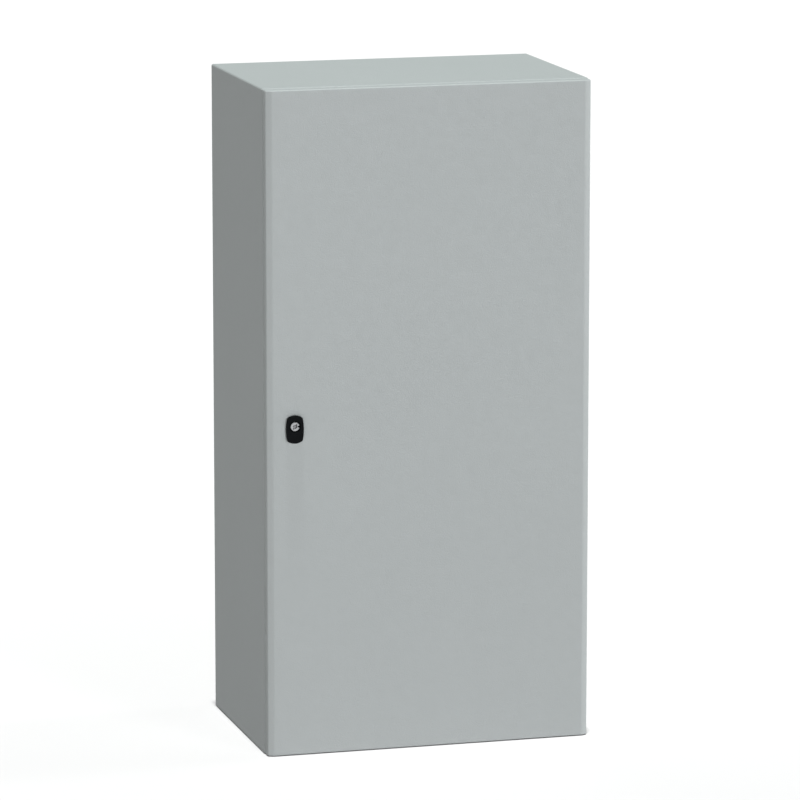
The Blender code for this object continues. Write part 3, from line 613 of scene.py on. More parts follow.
def thread(radius, low, high, pitch=M8_PITCH):
    """Profile points of a screw thread from high down to low."""
    deep = 0.61 * pitch
    turns = int((high - low) / pitch)
    points = []
    for i in range(turns):
        top = high - i * pitch
        points += [(radius, top - 0.06 * pitch), (radius, top - 0.20 * pitch),
                   (radius - deep, top - 0.56 * pitch), (radius - deep, top - 0.70 * pitch)]
    return points


def nut_blank(name, axis, centre, across_flats, thick):
    """A hexagon with both ends turned to the usual 30 degree chamfer."""
    blank = prism(name, axis, hex_outline(across_flats), -thick / 2, thick / 2, at=centre)
    corner = across_flats / math.sqrt(3) + 0.0005
    face = across_flats * 0.475
    drop = (corner - face) * math.tan(math.radians(30))
    half = thick / 2
    chamfer = turned(name + "_chamfer", axis, centre, [
        (0, half), (face, half), (corner, half - drop), (corner, drop - half), (face, -half),
        (0, -half),
    ])
    return combine(blank, (chamfer,), "INTERSECT")


def hex_nut(node, axis, across_flats=M8_FLATS, bore_r=M8_R + GAP):
    """Its place and thickness are those of its CAD node."""
    low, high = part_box(node)
    centre = tuple((low + high) / 2)
    thick = (high - low)["XYZ".index(axis)]
    nut = nut_blank(node, axis, centre, across_flats, thick)
    half = thick / 2
    mouth = min(0.0006, 0.15 * thick)
    bore = turned(node + "_bore", axis, centre, [
        (0, thick), (bore_r + mouth + thick / 2, thick), (bore_r, half - mouth),
        (bore_r, mouth - half), (bore_r + mouth + thick / 2, -thick), (0, -thick),
    ])
    show(cut(nut, bore), node, edge=0.00012)


def bonding_set(side, axis, flip=False):
    """Threaded stud for the bonding lead, plain where it is welded, with its nut."""
    node = side + "_earth_stud"
    low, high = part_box(node)
    foot = (low + high) / 2
    along = "XYZ".index(axis)
    foot[along] = low[along]
    length, plain, bevel = high[along] - low[along], 0.0015, 0.0008
    profile = [(0, length), (M8_R - bevel - 0.0002, length), (M8_R - 0.0002, length - bevel)]
    profile += thread(M8_R, plain, length - bevel)
    profile += [(M8_R, plain), (M8_R, 0), (0, 0)]
    if flip:
        profile = [(radius, -height) for radius, height in profile]
    show(turned(node, axis, foot, profile), node, edge=0)
    hex_nut(side + "_earth_nut", axis)


def cross_recess(name, centre, back, wide, deep):
    """Cutter for a cross recess, tapering to its bottom, cut forwards from behind."""
    pieces = []
    for turn in (0, math.pi / 2):
        outline = []
        for out, half_w, half_t in ((back - deep * 0.6, 1, 1), (back + deep, 0.55, 0.7)):
            w, t = wide * half_w, wide * 0.2 * half_t
            loop = []
            for across, up in ((w, t), (-w, t), (-w, -t), (w, -t)):
                x = across * math.cos(turn) - up * math.sin(turn)
                z = across * math.sin(turn) + up * math.cos(turn)
                loop.append((centre[0] + x, forward(out), centre[1] + z))
            outline.append(loop)
        pieces.append(loft(f"{name}_{turn:.0f}", outline))
    return pieces


def pan_screw(node, up, back, shank_r, head_r, head_thick, shank_long):
    """Pan head screw driven forwards into the lock from behind."""
    rises = [math.radians(degrees) for degrees in range(0, 90, 10)]
    dome = [(head_r * math.cos(rise) ** 0.6, -head_thick * (0.45 + 0.55 * math.sin(rise)))
            for rise in rises]
    profile = [(0, shank_long), (shank_r * 0.8, shank_long), (shank_r, shank_long - 0.0004),
               (shank_r, 0), (head_r, 0), *dome, (0, -head_thick)]
    screw = turned(node, "Y", on_lock(back, up), profile, 48)
    recess = cross_recess(node, (LOCK_X, LOCK_Z + up), back - head_thick, head_r * 0.58,
                          head_thick * 0.65)
    show(cut(screw, *recess), node, edge=0.00008)


# ---- Cabinet body ----


def body_shell():
    """Folded body with its front flange, and the hemmed lip that meets the seal."""
    low, high = Vector((-HALF_WIDTH, FLANGE_Y, 0)), Vector((HALF_WIDTH, BACK_Y, HEIGHT))
    shell = round_edges(box("shell", low, high), BODY_BEND, segments=6, fullness=BEND_FULLNESS)
    sheet = Vector((BODY_SHEET, BODY_SHEET, BODY_SHEET))
    cavity = box("cavity", low + sheet, high - sheet)
    round_edges(cavity, BODY_BEND - BODY_SHEET, segments=3)
    hem = LIP_SHEET / 2
    inner = FLANGE + LIP_SHEET
    reach = inner - 0.0022
    opening = box("opening", (-HALF_WIDTH + reach, forward(2 * LIP_FORWARD), reach),
                  (HALF_WIDTH - reach, FLANGE_Y + 4 * BODY_SHEET, HEIGHT - reach))
    cut(shell, cavity, opening)
    profile = [(FLANGE - 0.0019, -0.0006)]
    profile += arc((FLANGE - 0.0015, 0.0015), 0.0015, -80, 0, 5)
    profile += arc((FLANGE + hem, LIP_FORWARD - hem), hem, 180, 0, 10)
    profile += arc((inner - 0.0025, 0.0010), 0.0025, 0, -80, 6)
    profile += [(inner - 0.0029, -0.0010)]
    join(shell, frame_sweep("lip", profile, 0.0030, steps=5))
    opening = node_outline("gland_plate", "XY", GLAND_CORNER, inset=0.020)
    holes = [prism("floor_opening", "Z", opening, -BODY_SHEET, 2 * BODY_SHEET, at=GLAND_MIDDLE)]
    for x, y, _ in centres("gland_screw", 6):
        holes.append(cylinder("gland_hole", "Z", (x, y, 0), 0.0030, 0.01, 24))
    for x, _, z in centres("wall_plug", 4):
        holes.append(cylinder("wall_hole", "Y", (x, BACK_Y, z), 0.006, 0.01))
    show(cut(shell, *holes), "body_shell", edge=0.0002, segments=1, above=50)


def wall_plugs():
    """Dished plugs pushed into the wall-fixing holes from inside."""
    head = BODY_SHEET + GAP
    profile = [(0, head + 0.0016), (0.0030, head + 0.0016), (0.0036, head + 0.0022),
               (0.0040, head + 0.0025), (0.0072, head + 0.0025), (0.0080, head + 0.0022),
               (0.0085, head + 0.0014), (0.0085, head), (0.0056, head), (0.0056, 0.0006),
               (0.0053, GAP), (0.0020, GAP), (0.0016, 0.0007), (0, 0.0007)]
    for i, (x, _, z) in enumerate(centres("wall_plug", 4), start=1):
        node = f"wall_plug_{i}"
        show(turned(node, "Y", (x, BACK_Y, z), profile, 48), node, edge=0)


def gland_set():
    """Cable entry plate on the floor of the body, with its foam seal and screws."""
    seal_low, seal_high = (corner.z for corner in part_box("gland_gasket"))
    outline = node_outline("gland_plate", "XY", GLAND_CORNER)
    seal = prism("seal", "Z", outline, seal_low, seal_high, at=GLAND_MIDDLE)
    plate = prism("plate", "Z", outline, GLAND_LOW.z, GLAND_HIGH.z, at=GLAND_MIDDLE)
    opening = node_outline("gland_plate", "XY", GLAND_CORNER, inset=0.018)
    seal_holes, plate_holes = [prism("seal_hole", "Z", opening, 0, 0.02, at=GLAND_MIDDLE)], []
    places = centres("gland_screw", 6)
    for x, y, _ in places:
        seal_holes.append(cylinder("seal_hole", "Z", (x, y, 0), 0.0035, 0.03, 24))
        plate_holes.append(cylinder("plate_hole", "Z", (x, y, 0), 0.0033, 0.03, 24))
    show(cut(seal, *seal_holes), "gland_gasket", edge=0.0004)
    show(cut(plate, *plate_holes), "gland_plate", edge=0.0003)

    flats, thick, washer_thick = 0.010, 0.0045, 0.0012
    washer_r = flats * 0.62
    head_tall = thick - washer_thick / 2
    head_middle = (washer_thick + head_tall) / 2
    shank_r, shank_long = 0.0026, GLAND_HIGH.z
    shank = [(0, 0.0005), (shank_r, 0.0005), *thread(shank_r, -shank_long, 0, 0.0009),
             (shank_r, -shank_long), (0, -shank_long)]
    for i, (x, y, _) in enumerate(places, start=1):
        node = f"gland_screw_{i}"
        under = Vector((x, y, GLAND_HIGH.z + GAP))
        screw = turned(node, "Z", under, shank, 32)
        head = nut_blank(node + "_head", "Z", under + Vector((0, 0, head_middle)), flats,
                         head_tall)
        washer = turned(node + "_washer", "Z", under, [
            (0, washer_thick), (flats * 0.58, washer_thick), (washer_r, washer_thick - 0.0004),
            (washer_r, 0), (0, 0)])
        show(join(screw, head, washer), node, edge=0.0001)


def mounting_set():
    """Galvanised plate for the equipment, on four shouldered studs welded to the back."""
    middle = ((PLATE_LOW.x + PLATE_HIGH.x) / 2, 0, (PLATE_LOW.z + PLATE_HIGH.z) / 2)
    plate = prism("plate", "Y", node_outline("mounting_plate", "XZ", 0.008), PLATE_LOW.y,
                  PLATE_HIGH.y, at=middle)
    plain_r, collar_r = M8_R - 0.0002, 0.0070
    holes = []
    for i in range(1, 5):
        node = f"mounting_stud_{i}"
        low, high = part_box(node)
        x, z = (low.x + high.x) / 2, (low.z + high.z) / 2
        holes.append(cylinder(node + "_hole", "Y", (x, PLATE_HIGH.y, z), 0.0046, 0.02))
        shoulder = high.y - PLATE_HIGH.y - GAP
        long = high.y - low.y
        profile = [(0, long), (M8_R - 0.0010, long), (plain_r, long - 0.0008),
                   *thread(M8_R, shoulder + 0.0015, long - 0.0008),
                   (plain_r, shoulder + 0.0015), (plain_r, shoulder),
                   (collar_r - 0.0004, shoulder), (collar_r, shoulder - 0.0004),
                   (collar_r, 0.0004), (collar_r - 0.0004, 0), (0, 0)]
        show(turned(node, "Y", (x, high.y, z), profile, 48), node, edge=0)
        hex_nut(f"mounting_nut_{i}", "Y")
    show(cut(plate, *holes), "mounting_plate", edge=0.0003)


# ---- Hinges ----


def hinge_outline(points):
    """Points are across to the right and out to the front of the hinge axis."""
    return [(HINGE_X + across, HINGE_Y - out) for across, out in points]


def hinge_bore(height):
    return cylinder("hinge_bore", "Z", (HINGE_X, HINGE_Y, height), KNUCKLE_BORE_R, 0.08)


def hinge_bracket(node, height):
    """Fixed half: a foot on the flange and an arm that carries the middle knuckle."""
    foot_low = HINGE_Y - FLANGE_Y + GAP
    foot_high = foot_low + 0.003
    foot_left, arm_left, arm_right = -0.0162, -KNUCKLE_R, -0.0015
    start = math.degrees(math.atan2(-math.sqrt(KNUCKLE_R**2 - arm_right**2), arm_right))
    knuckle = arc((0, 0), KNUCKLE_R, start, 180, 40)
    corners = [(foot_left, foot_low), (arm_right, foot_low)]
    points = corners + knuckle + [(arm_left, foot_high), (foot_left, foot_high)]
    radii = [0, 0.0012] + [0] * len(knuckle) + [0.0010, 0.0008]
    bracket = prism(node, "Z", hinge_outline(filleted(points, radii)),
                    height - BRACKET_HALF, height + BRACKET_HALF)
    show(cut(bracket, hinge_bore(height)), node)


def hinge_leaf(node, height):
    """Moving half: a strip on the door with two lugs, above and below the middle knuckle."""
    plate_low = 0.0052
    plate_high = HINGE_Y - forward(ON_DOOR)
    plate_left, plate_right = -0.0127, -0.0042
    strip = box(node, (HINGE_X + plate_left, HINGE_Y - plate_high, height - LUG_TOP - 0.001),
                (HINGE_X + plate_right, HINGE_Y - plate_low, height + LUG_TOP + 0.001))
    arm_left = plate_left + 0.0037
    lug_shape = hinge_outline([
        (arm_left, plate_low + 0.0005), (arm_left, plate_high - 0.0002),
        (plate_right - 0.0002, plate_high - 0.0002), *arc((0, 0), KNUCKLE_R, 90, -180, 40)])
    lugs = []
    for sign in (1, -1):
        low, high = sorted((sign * (BRACKET_HALF + GAP), sign * LUG_TOP))
        lugs.append(prism("lug", "Z", lug_shape, height + low, height + high))
    join(strip, *lugs)
    show(cut(strip, hinge_bore(height)), node)


def hinge_pin(node, height):
    under = LUG_TOP + GAP
    profile = [(0, under + 0.0020), (0.0030, under + 0.0020), (0.0036, under + 0.0018),
               (0.0040, under + 0.0013), (0.0040, under + 0.0003), (0.0038, under),
               (PIN_R, under), (PIN_R, -LUG_TOP - 0.0010), (PIN_R - 0.0003, -LUG_TOP - 0.0016),
               (PIN_R - 0.0008, -LUG_TOP - 0.0020), (0, -LUG_TOP - 0.0020)]
    show(turned(node, "Z", (HINGE_X, HINGE_Y, height), profile, 48), node, edge=0)


# ---- Door ----


def door_outline(inset):
    """Plan of the door: two straight returns, two chamfers and the flat front."""
    side = DOOR_HIGH.x
    slope = math.atan2(CHAMFER_DEEP, CHAMFER_WIDE)
    front_shift = inset * math.tan(slope / 2)
    side_shift = inset * math.tan((math.pi / 2 - slope) / 2)
    front_corner = (side - CHAMFER_WIDE - front_shift, DOOR_FRONT - inset)
    side_corner = (side - inset, DOOR_FRONT - CHAMFER_DEEP - side_shift)
    half = [(side - inset, DOOR_BACK - inset), side_corner, front_corner]
    points = half + [(-x, out) for x, out in reversed(half)]
    return [(x, forward(out)) for x, out in points]


def door_panel():
    panel = prism("door", "Z", door_outline(0), DOOR_LOW.z, DOOR_HIGH.z)
    round_edges(panel, DOOR_BEND, segments=5, above=15, fullness=BEND_FULLNESS)
    cavity = prism("cavity", "Z", door_outline(DOOR_SHEET), DOOR_LOW.z + DOOR_SHEET,
                   DOOR_HIGH.z - DOOR_SHEET)
    round_edges(cavity, 0.0006, segments=2)
    cutters = [cavity, cylinder("lock_hole", "Y", on_lock(DOOR_FRONT), NECK_R + GAP, 0.02, 64)]
    notch_front = forward(DOOR_FRONT - CHAMFER_DEEP - 0.0013)
    for height in HINGE_HEIGHTS:
        cutters.append(box("hinge_notch",
                           (HALF_WIDTH - 0.005, notch_front, height - HINGE_NOTCH_HALF),
                           (HALF_WIDTH + 0.005, forward(0), height + HINGE_NOTCH_HALF)))
    show(cut(panel, *cutters), "door_panel", edge=0.0002, segments=1, above=50)


def door_gasket():
    """Foamed seal in a D profile, marked along its crown by the body's lip."""
    low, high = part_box("door_gasket")
    base, crown = FLANGE_Y - low.y, FLANGE_Y - high.y
    half = SEAL_WIDE / 2
    tall = base - crown
    profile = [(SEAL_MIDDLE - half + 0.0004, base), (SEAL_MIDDLE - half, base - 0.0012)]
    steps = 16
    for i in range(1, steps):
        angle = math.pi * (1 - i / steps)
        across = half * math.cos(angle)
        rise = (tall - 0.0012) * math.sin(angle) ** 0.6
        dent = 0.0005 * math.exp(-((across / 0.0012) ** 2))
        profile.append((SEAL_MIDDLE + across, base - 0.0012 - rise + dent))
    profile += [(SEAL_MIDDLE + half, base - 0.0012), (SEAL_MIDDLE + half - 0.0004, base)]
    seal = frame_sweep("seal", profile, 0.012, steps=10)
    bm = bmesh.new()
    bm.from_mesh(seal.data)
    long_edges = [edge for edge in bm.edges if edge.calc_length() > 0.2]
    bmesh.ops.subdivide_edges(bm, edges=long_edges, cuts=90, use_grid_fill=True)
    for vert in bm.verts:
        depth = (forward(base) - vert.co.y) / (forward(base) - forward(crown))
        wave = noise.noise(vert.co * 35) * 0.00028 + noise.noise(vert.co * 140) * 0.00010
        vert.co.y -= (abs(wave) + 0.00002) * max(0.0, min(1.0, depth))
    bm.to_mesh(seal.data)
    bm.free()
    show(seal, "door_gasket", edge=0)


def door_stiffener(node):
    """Folded channel, open towards the door sheet and holed along its web."""
    low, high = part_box(node)
    sheet, bend = 0.0012, 0.0020
    points = [(low.x, low.y), (low.x, high.y), (high.x, high.y), (high.x, low.y),
              (high.x - sheet, low.y), (high.x - sheet, high.y - sheet),
              (low.x + sheet, high.y - sheet), (low.x + sheet, low.y)]
    radii = [0, bend, bend, 0, 0, bend - sheet, bend - sheet, 0]
    channel = prism(node, "Z", filleted(points, radii), low.z, high.z)
    step, count = 0.100, 10
    first = HEIGHT / 2 - step * (count - 1) / 2
    x = (low.x + high.x) / 2
    holes = [cylinder("web_hole", "Y", (x, high.y, first + step * i), 0.0035, 0.01, 32)
             for i in range(count)]
    show(cut(channel, *holes), node, edge=0.0002)


# ---- Lock ----


def bulged_outline(half_wide, half_tall, side_bulge, end_bulge, steps=14):
    """A rectangle whose four sides are shallow arcs. Half sizes are those of the corners."""
    points = []
    for quarter in range(4):
        upright = quarter % 2 == 0
        half_chord, across = (half_tall, half_wide) if upright else (half_wide, half_tall)
        bulge = side_bulge if upright else end_bulge
        radius = (half_chord**2 + bulge**2) / (2 * bulge)
        sweep = math.degrees(math.asin(half_chord / radius))
        turn = math.radians(90 * quarter)
        middle = across + bulge - radius
        centre = (middle * math.cos(turn), middle * math.sin(turn))
        side = arc(centre, radius, 90 * quarter - sweep, 90 * quarter + sweep, steps)
        points += side[:-1]
    return points


def lock_bezel():
    """Escutcheon with a barrel outline, a round well for the insert and a threaded neck."""
    front = FLANGE_Y - BEZEL_LOW.y
    outline = bulged_outline(0.0138, 0.0206, 0.0023, 0.0047)
    bezel = prism("bezel", "Y", outline, BEZEL_LOW.y, forward(DOOR_FRONT + GAP),
                  at=(LOCK_X, 0, (BEZEL_LOW.z + BEZEL_HIGH.z) / 2))
    round_edges(bezel, 0.0012, segments=5, above=35)
    neck_front = front - 0.0025
    root_r = NECK_R - 0.0009
    neck = turned("neck", "Y", on_lock(0), [
        (0, neck_front), (root_r, neck_front), (root_r, DOOR_INSIDE),
        *thread(NECK_R, NECK_BACK, DOOR_INSIDE, 0.0015), (root_r, NECK_BACK), (0, NECK_BACK)])
    deep = 0.0018
    well = turned("well", "Y", on_lock(front), [
        (0, deep), (0.0113, deep), (0.0109, 0.0002), (0.0105, -0.0005), (0.0098, -deep),
        (0, -deep)])
    bore = cylinder("bore", "Y", on_lock(DOOR_FRONT), INSERT_R + GAP, 0.05, 64)
    join(bezel, neck)
    show(cut(bezel, well, bore), "lock_bezel", edge=0.0002)


def rod_box(name, half_wide, out_low, out_high, up_low, up_high):
    """A box about the upper rod's middle line. Heights are from the lock's axis."""
    x = LOCK_X + ROD_OUT
    return box(name, (x - half_wide, forward(out_high), LOCK_Z + up_low),
               (x + half_wide, forward(out_low), LOCK_Z + up_high))


def rod_slot(name, up, tall):
    slack = 0.0004
    half_thick = ROD_THICK / 2 + slack
    return rod_box(name, ROD_WIDE / 2 + slack, ROD_FORWARD - half_thick,
                   ROD_FORWARD + half_thick, up - tall / 2, up + tall / 2)


def lock_case():
    """Box over the rack and pinion, open at the back, slotted for the rods."""
    low = Vector((LOCK_X - LOCK_HALF_WIDE, forward(ON_DOOR), LOCK_Z - LOCK_HALF_TALL))
    high = Vector((LOCK_X + LOCK_HALF_WIDE, forward(CASE_BACK), LOCK_Z + LOCK_HALF_TALL))
    case = round_edges(box("case", low, high), 0.0008)
    wall = Vector((CASE_WALL, CASE_WALL, CASE_WALL))
    hollow = box("case_hollow", low + wall,
                 (high.x - CASE_WALL, high.y + CASE_WALL, high.z - CASE_WALL))
    cut(case, round_edges(hollow, 0.0005, segments=2))
    posts, cutters = [], []
    post_front, post_back = ON_DOOR - CASE_WALL / 2, CASE_BACK + GAP
    for sign in (1, -1):
        up = sign * CASE_SCREW_UP
        middle = on_lock((post_front + post_back) / 2, up)
        posts.append(cylinder("post", "Y", middle, 0.0035, post_front - post_back, 40))
        cutters.append(cylinder("post_bore", "Y", on_lock(CASE_BACK, up), 0.0017, 0.020, 24))
        slot = rod_slot("slot", LOCK_HALF_TALL, 2 * LOCK_HALF_WIDE)
        cutters.append(slot if sign > 0 else half_turn(slot))
    cutters.append(cylinder("case_hole", "Y", on_lock(DOOR_INSIDE), NECK_R + GAP, 0.01, 64))
    join(case, *posts)
    show(cut(case, *cutters), "lock_case", edge=0.00015)


def lock_cover():
    low, high = forward(CASE_BACK - GAP), forward(COVER_BACK)
    outline = rounded_box_outline(LOCK_HALF_WIDE, LOCK_HALF_TALL, 0.002)
    cover = prism("cover", "Y", outline, low, high, at=(LOCK_X, 0, LOCK_Z))
    holes = [cylinder("cover_hole", "Y", on_lock(CASE_BACK), 0.0058, 0.02)]
    for up in (CASE_SCREW_UP, -CASE_SCREW_UP):
        centre = on_lock(CASE_BACK, up)
        holes.append(cylinder("cover_screw_hole", "Y", centre, 0.0018, 0.02, 32))
    show(cut(cover, *holes), "lock_cover", edge=0.0002)


def square_bar(name, half, out_low, out_high):
    """A square bar on the lock's axis."""
    return box(name, (LOCK_X - half, forward(out_high), LOCK_Z - half),
               (LOCK_X + half, forward(out_low), LOCK_Z + half))


def lock_insert():
    """Turning insert: double-bar socket, a pointer notch, and a square shaft."""
    front = FLANGE_Y - INSERT_LOW.y
    deep, wing_long, wing_half, wing_turn = 0.0042, 0.0056, 0.0011, -52
    notch_in, notch_half, notch_deep = 0.0044, 0.0016, 0.0085
    core_r, core_low, core_long = 0.0016, 0.0006, deep + 0.001
    insert = turned("insert", "Y", on_lock(front), [
        (0, 0), (INSERT_R - 0.0006, 0), (INSERT_R - 0.0003, -0.0001),
        (INSERT_R - 0.0001, -0.0003), (INSERT_R, -0.0006),
        (INSERT_R, NECK_BACK - front), (0, NECK_BACK - front)], 96)
    shaft = square_bar("shaft", SHAFT_HALF, CAM_BACK, NECK_BACK + 0.001)
    join(insert, round_edges(shaft, 0.0004))
    socket = cylinder("socket", "Y", on_lock(front), 0.0036, 2 * deep)
    wings = box("wings", (-wing_long, -deep, -wing_half), (wing_long, deep, wing_half))
    wings.data.transform(Matrix.Translation(on_lock(front))
                         @ Matrix.Rotation(math.radians(wing_turn), 4, "Y"))
    notch = box("notch", (LOCK_X + notch_in, forward(front + 0.001), LOCK_Z - notch_half),
                (LOCK_X + INSERT_R + 0.001, forward(front - notch_deep), LOCK_Z + notch_half))
    bore = cylinder("shaft_bore", "Y", on_lock(CAM_BACK), 0.0019, 0.018, 32)
    cut(insert, socket, wings, notch, bore)
    core = turned("core", "Y", on_lock(front - core_low), [
        (0, 0), (core_r - 0.0004, 0), (core_r, -0.0004), (core_r, -core_long),
        (0, -core_long)], 48)
    show(join(insert, core), "lock_insert", edge=0)


def involute(angle):
    return math.tan(angle) - angle


def pinion_outline():
    """Twelve involute teeth, with one tooth pointing straight across."""
    base_r = PINION_R * math.cos(PRESSURE_ANGLE)
    root_r = PINION_R - RACK_ADDENDUM - TOOTH_CLEARANCE
    tip_r = PINION_R + PINION_ADDENDUM
    half_at_pitch = (PITCH - BACKLASH) / (4 * PINION_R)
    flank = [root_r] + [base_r + (tip_r - base_r) * i / 8 for i in range(9)]

    def half_angle(radius):
        pressure = math.acos(min(1.0, base_r / max(radius, base_r)))
        return half_at_pitch + involute(PRESSURE_ANGLE) - involute(pressure)

    points = []
    for tooth in range(TEETH):
        middle = 2 * math.pi * tooth / TEETH
        rising = [(radius, middle - half_angle(radius)) for radius in flank]
        falling = [(radius, middle + half_angle(radius)) for radius in reversed(flank)]
        for radius, angle in rising + falling:
            points.append((radius * math.cos(angle), radius * math.sin(angle)))
    return points


def lock_pinion():
    pinion = prism("pinion", "Y", pinion_outline(), forward(PINION_FRONT),
                   forward(PINION_BACK), at=(LOCK_X, 0, LOCK_Z))
    cut(pinion, square_bar("pinion_hole", SHAFT_HALF + GAP, 0, 0.02))
    show(pinion, "lock_pinion", edge=0.0001, above=50)


def lock_cam():
    """Arm that turns behind the body's flange. It hangs down while the door is unlocked."""
    half_wide, hub_r, tip_corner = 0.0075, 0.0095, 0.004
    sweep = math.degrees(math.asin(half_wide / hub_r))
    outline = arc((0, 0), hub_r, -90 + sweep, 270 - sweep, 48)
    for sign in (-1, 1):
        start = 180 if sign < 0 else 270
        centre = (sign * (half_wide - tip_corner), tip_corner - CAM_REACH)
        outline += arc(centre, tip_corner, start, start + 90, 10)
    cam = prism("cam", "Y", outline, forward(CAM_FRONT), forward(CAM_BACK),
                at=(LOCK_X, 0, LOCK_Z))
    cut(cam, square_bar("cam_hole", SHAFT_HALF + GAP, -0.02, 0.0))
    show(cam, "lock_cam", edge=0.0003)


# ---- Lock rods ----


def rack_cutter(name):
    pitch_line = -PINION_R
    tip = pitch_line + RACK_ADDENDUM
    root = pitch_line - PINION_ADDENDUM - TOOTH_CLEARANCE
    half_tooth = (PITCH - BACKLASH) / 4
    slope = math.tan(PRESSURE_ANGLE)
    half_at_tip = half_tooth - RACK_ADDENDUM * slope
    half_at_root = half_tooth + (PINION_ADDENDUM + TOOTH_CLEARANCE) * slope
    clear = ROD_OUT + ROD_WIDE / 2 + 0.002
    first, last = -5, 1
    outline = [(clear, (first - 1) * PITCH), (root, (first - 1) * PITCH)]
    for tooth in range(first, last + 1):
        middle = (tooth + 0.5) * PITCH
        outline += [(root, middle - half_at_root), (tip, middle - half_at_tip),
                    (tip, middle + half_at_tip), (root, middle + half_at_root)]
    top = (last + 1) * PITCH + 0.003
    outline += [(root, top), (clear, top)]
    return prism(name, "Y", outline, forward(0.02), forward(0), at=(LOCK_X, 0, LOCK_Z))


def lock_rod(node, lower):
    """Flat bar, cranked near its end to pass behind the flange, with a rack at the lock."""
    half = ROD_THICK / 2
    path = [(ROD_FORWARD, -0.0240), (ROD_FORWARD, 0.5100), (ROD_END_FORWARD, 0.5450),
            (ROD_END_FORWARD, TIP_TOP - TIP_CAP)]
    crank = math.atan2(path[1][0] - path[2][0], path[2][1] - path[1][1])
    mitre = half * math.tan(crank / 2)
    shifts = (0, mitre, mitre, 0)
    front = [(out + half, up + shift) for (out, up), shift in zip(path, shifts)]
    back = [(out - half, up - shift) for (out, up), shift in zip(path, shifts)][::-1]
    inside, outside = 0.004, 0.008
    radii = [0, outside, inside, 0, 0, outside, inside, 0]
    outline = [(forward(out), LOCK_Z + up) for out, up in filleted(front + back, radii)]
    x = LOCK_X + ROD_OUT
    rod = prism(node, "X", outline, x - ROD_WIDE / 2, x + ROD_WIDE / 2)
    cut(rod, rack_cutter(node + "_rack"))
    show(half_turn(rod) if lower else rod, node, edge=0.00025)


def rod_tip(node, lower):
    """Nylon shoe on the rod's end."""
    half_wide, half_thick, low = 0.0073, 0.0028, TIP_TOP - 0.013
    shoe = rod_box(node, half_wide, ROD_END_FORWARD - half_thick, ROD_END_FORWARD + half_thick,
                   low, TIP_TOP)
    round_edges(shoe, 0.0008)
    room = ROD_THICK / 2 + GAP
    cut(shoe, rod_box(node + "_pocket", ROD_WIDE / 2 + GAP, ROD_END_FORWARD - room,
                      ROD_END_FORWARD + room, low - 0.01, TIP_TOP - TIP_CAP + GAP))
    show(half_turn(shoe) if lower else shoe, node, edge=0.0001, segments=1)


def rod_guide(node, up, lower):
    """Block on the door that the rod slides through."""
    half_wide, half_tall = 0.0081, 0.008
    back = ROD_FORWARD - ROD_THICK / 2 - 0.0025
    block = rod_box(node, half_wide, back, ON_DOOR, up - half_tall, up + half_tall)
    round_edges(block, 0.0008)
    cut(block, rod_slot(node + "_slot", up, 0.04))
    show(half_turn(block) if lower else block, node, edge=0.00015)


# ---- Assembly ----


def build_cabinet():
    body_shell()
    wall_plugs()
    gland_set()
    mounting_set()
    bonding_set("body", "Z")
    for i, height in enumerate(HINGE_HEIGHTS, start=1):
        hinge_bracket(f"hinge_bracket_{i}", height)
        hinge_pin(f"hinge_pin_{i}", height)


def build_door():
    door_panel()
    door_gasket()
    door_stiffener("door_stiffener_left")
    door_stiffener("door_stiffener_right")
    bonding_set("door", "Y", flip=True)
    for i, height in enumerate(HINGE_HEIGHTS, start=1):
        hinge_leaf(f"hinge_leaf_{i}", height)
    lock_bezel()
    hex_nut("lock_ring_nut", "Y", RING_NUT_FLATS, NECK_R + GAP)
    lock_case()
    lock_cover()
    for i, sign in enumerate((1, -1), start=1):
        pan_screw(f"lock_cover_screw_{i}", sign * CASE_SCREW_UP, COVER_BACK - GAP,
                  shank_r=0.0014, head_r=0.0028, head_thick=0.0016, shank_long=0.009)
    for i, up in enumerate((0.200, 0.470), start=1):
        for side in ("upper", "lower"):
            rod_guide(f"{side}_rod_guide_{i}", up, side == "lower")


def build_lock():
    lock_insert()
    lock_pinion()
    lock_cam()
    pan_screw("lock_cam_screw", 0.0, CAM_BACK - GAP, shank_r=0.0016, head_r=0.0060,
              head_thick=0.0025, shank_long=0.007)
    for side in ("upper", "lower"):
        lock_rod(f"{side}_rod", side == "lower")
        rod_tip(f"{side}_rod_tip", side == "lower")


# ---- Stage, light and camera ----


def pale_floor():
    """Matt floor with painted shade: a little darker in front of the cabinet than far away, to
    cancel the light that the cabinet's front throws back onto it.
    """
    bm = bmesh.new()
    bmesh.ops.create_grid(bm, x_segments=1, y_segments=1, size=80)
    floor = add_object("pale_floor", bm, Matrix.Translation((0, 0, cad_bounds[0][2])))
    shader, place = new_material("pale_floor")
    # painted shade: the floor colour darkens towards a point just in front of the cabinet
    away = vector_math("DISTANCE", place, (0.1, -0.7, 0.0)).outputs["Value"]
    feed(shader, {
        "Base Color": between(away, 0.3, 2.0, (0.696, 0.668, 0.675), (0.765, 0.735, 0.741)),
        "Roughness": 1.0,
        "Specular IOR Level": 0.0,
    })
    floor.data.materials.append(MATERIALS["pale_floor"])


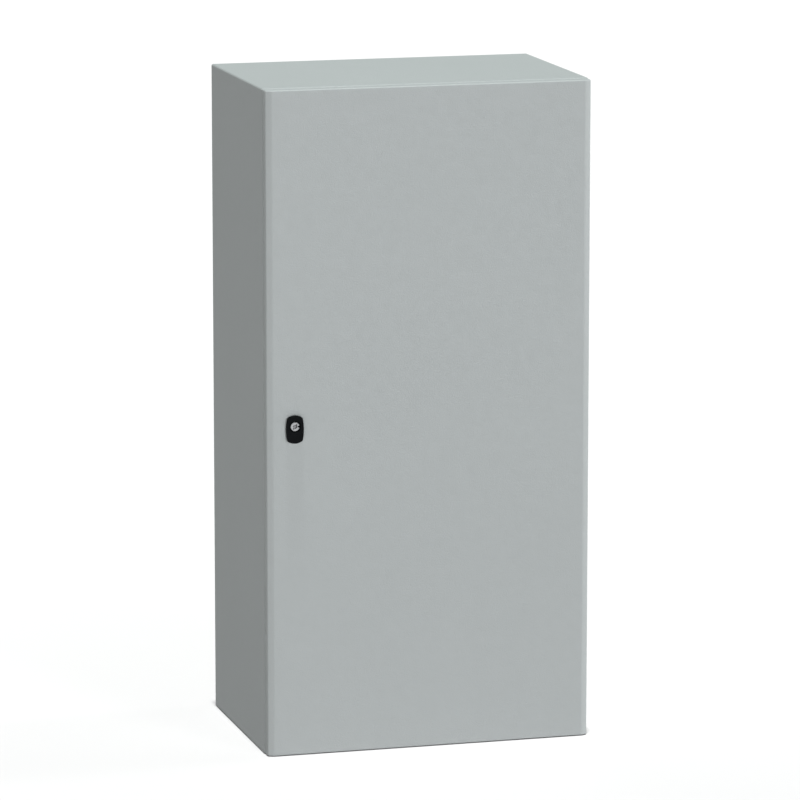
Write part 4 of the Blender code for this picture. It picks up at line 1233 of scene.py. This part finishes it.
def studio_sun(name, strength, spread_degrees, azimuth, elevation, colour):
    """Soft directional light. Azimuth 0 comes from the front and grows to the right."""
    lamp = bpy.data.lights.new(name, "SUN")
    lamp.energy = strength
    lamp.angle = math.radians(spread_degrees)
    lamp.color = colour
    sun = bpy.data.objects.new(name, lamp)
    bpy.context.scene.collection.objects.link(sun)
    across, up = math.radians(azimuth), math.radians(elevation)
    towards = Vector((math.sin(across) * math.cos(up), -math.cos(across) * math.cos(up),
                      math.sin(up)))
    sun.rotation_euler = towards.to_track_quat("Z", "Y").to_euler()


def studio_world(ambient, backdrop):
    """Weak light from all round, with a plain backdrop for the camera."""
    world = bpy.data.worlds.new("studio")
    bpy.context.scene.world = world
    world.use_nodes = True
    tree = world.node_tree
    tree.nodes.clear()
    path = add_node(tree, "LightPath")
    soft, white = (
        add_node(tree, "Background", {"Color": (1, 1, 1, 1), "Strength": strength})
        for strength in (ambient, backdrop)
    )
    mix = add_node(tree, "MixShader", {
        0: path.outputs["Is Camera Ray"], 1: soft.outputs[0], 2: white.outputs[0],
    })
    add_node(tree, "OutputWorld", {0: mix.outputs[0]})


def studio_camera():
    data = bpy.data.cameras.new("studio_camera")
    data.lens = 235.0
    data.sensor_width = 36.0
    data.clip_end = 400
    camera = bpy.data.objects.new("studio_camera", data)
    camera.location = (-2.503, -8.9898, 2.3477)
    camera.rotation_euler = tuple(math.radians(a) for a in (79.389, -0.009, -15.558))
    bpy.context.scene.collection.objects.link(camera)
    bpy.context.scene.camera = camera


build_cabinet()
build_door()
build_lock()
pale_floor()
# name, strength, spread, azimuth, elevation, colour
studio_sun("overhead", 4.10, 1.5, -16, 88.5, (0.950, 1.0, 0.985))
studio_sun("key", 1.80, 20, 24, 5, (0.980, 1.0, 1.020))
studio_sun("fill", 0.38, 10, -40, 5, (1.0, 1.0, 0.985))
studio_sun("rim", 2.0, 6, 92, 4, (0.985, 1.0, 1.0))
studio_world(ambient=0.02, backdrop=1.0)
studio_camera()
bpy.context.scene.view_settings.view_transform = "Standard"
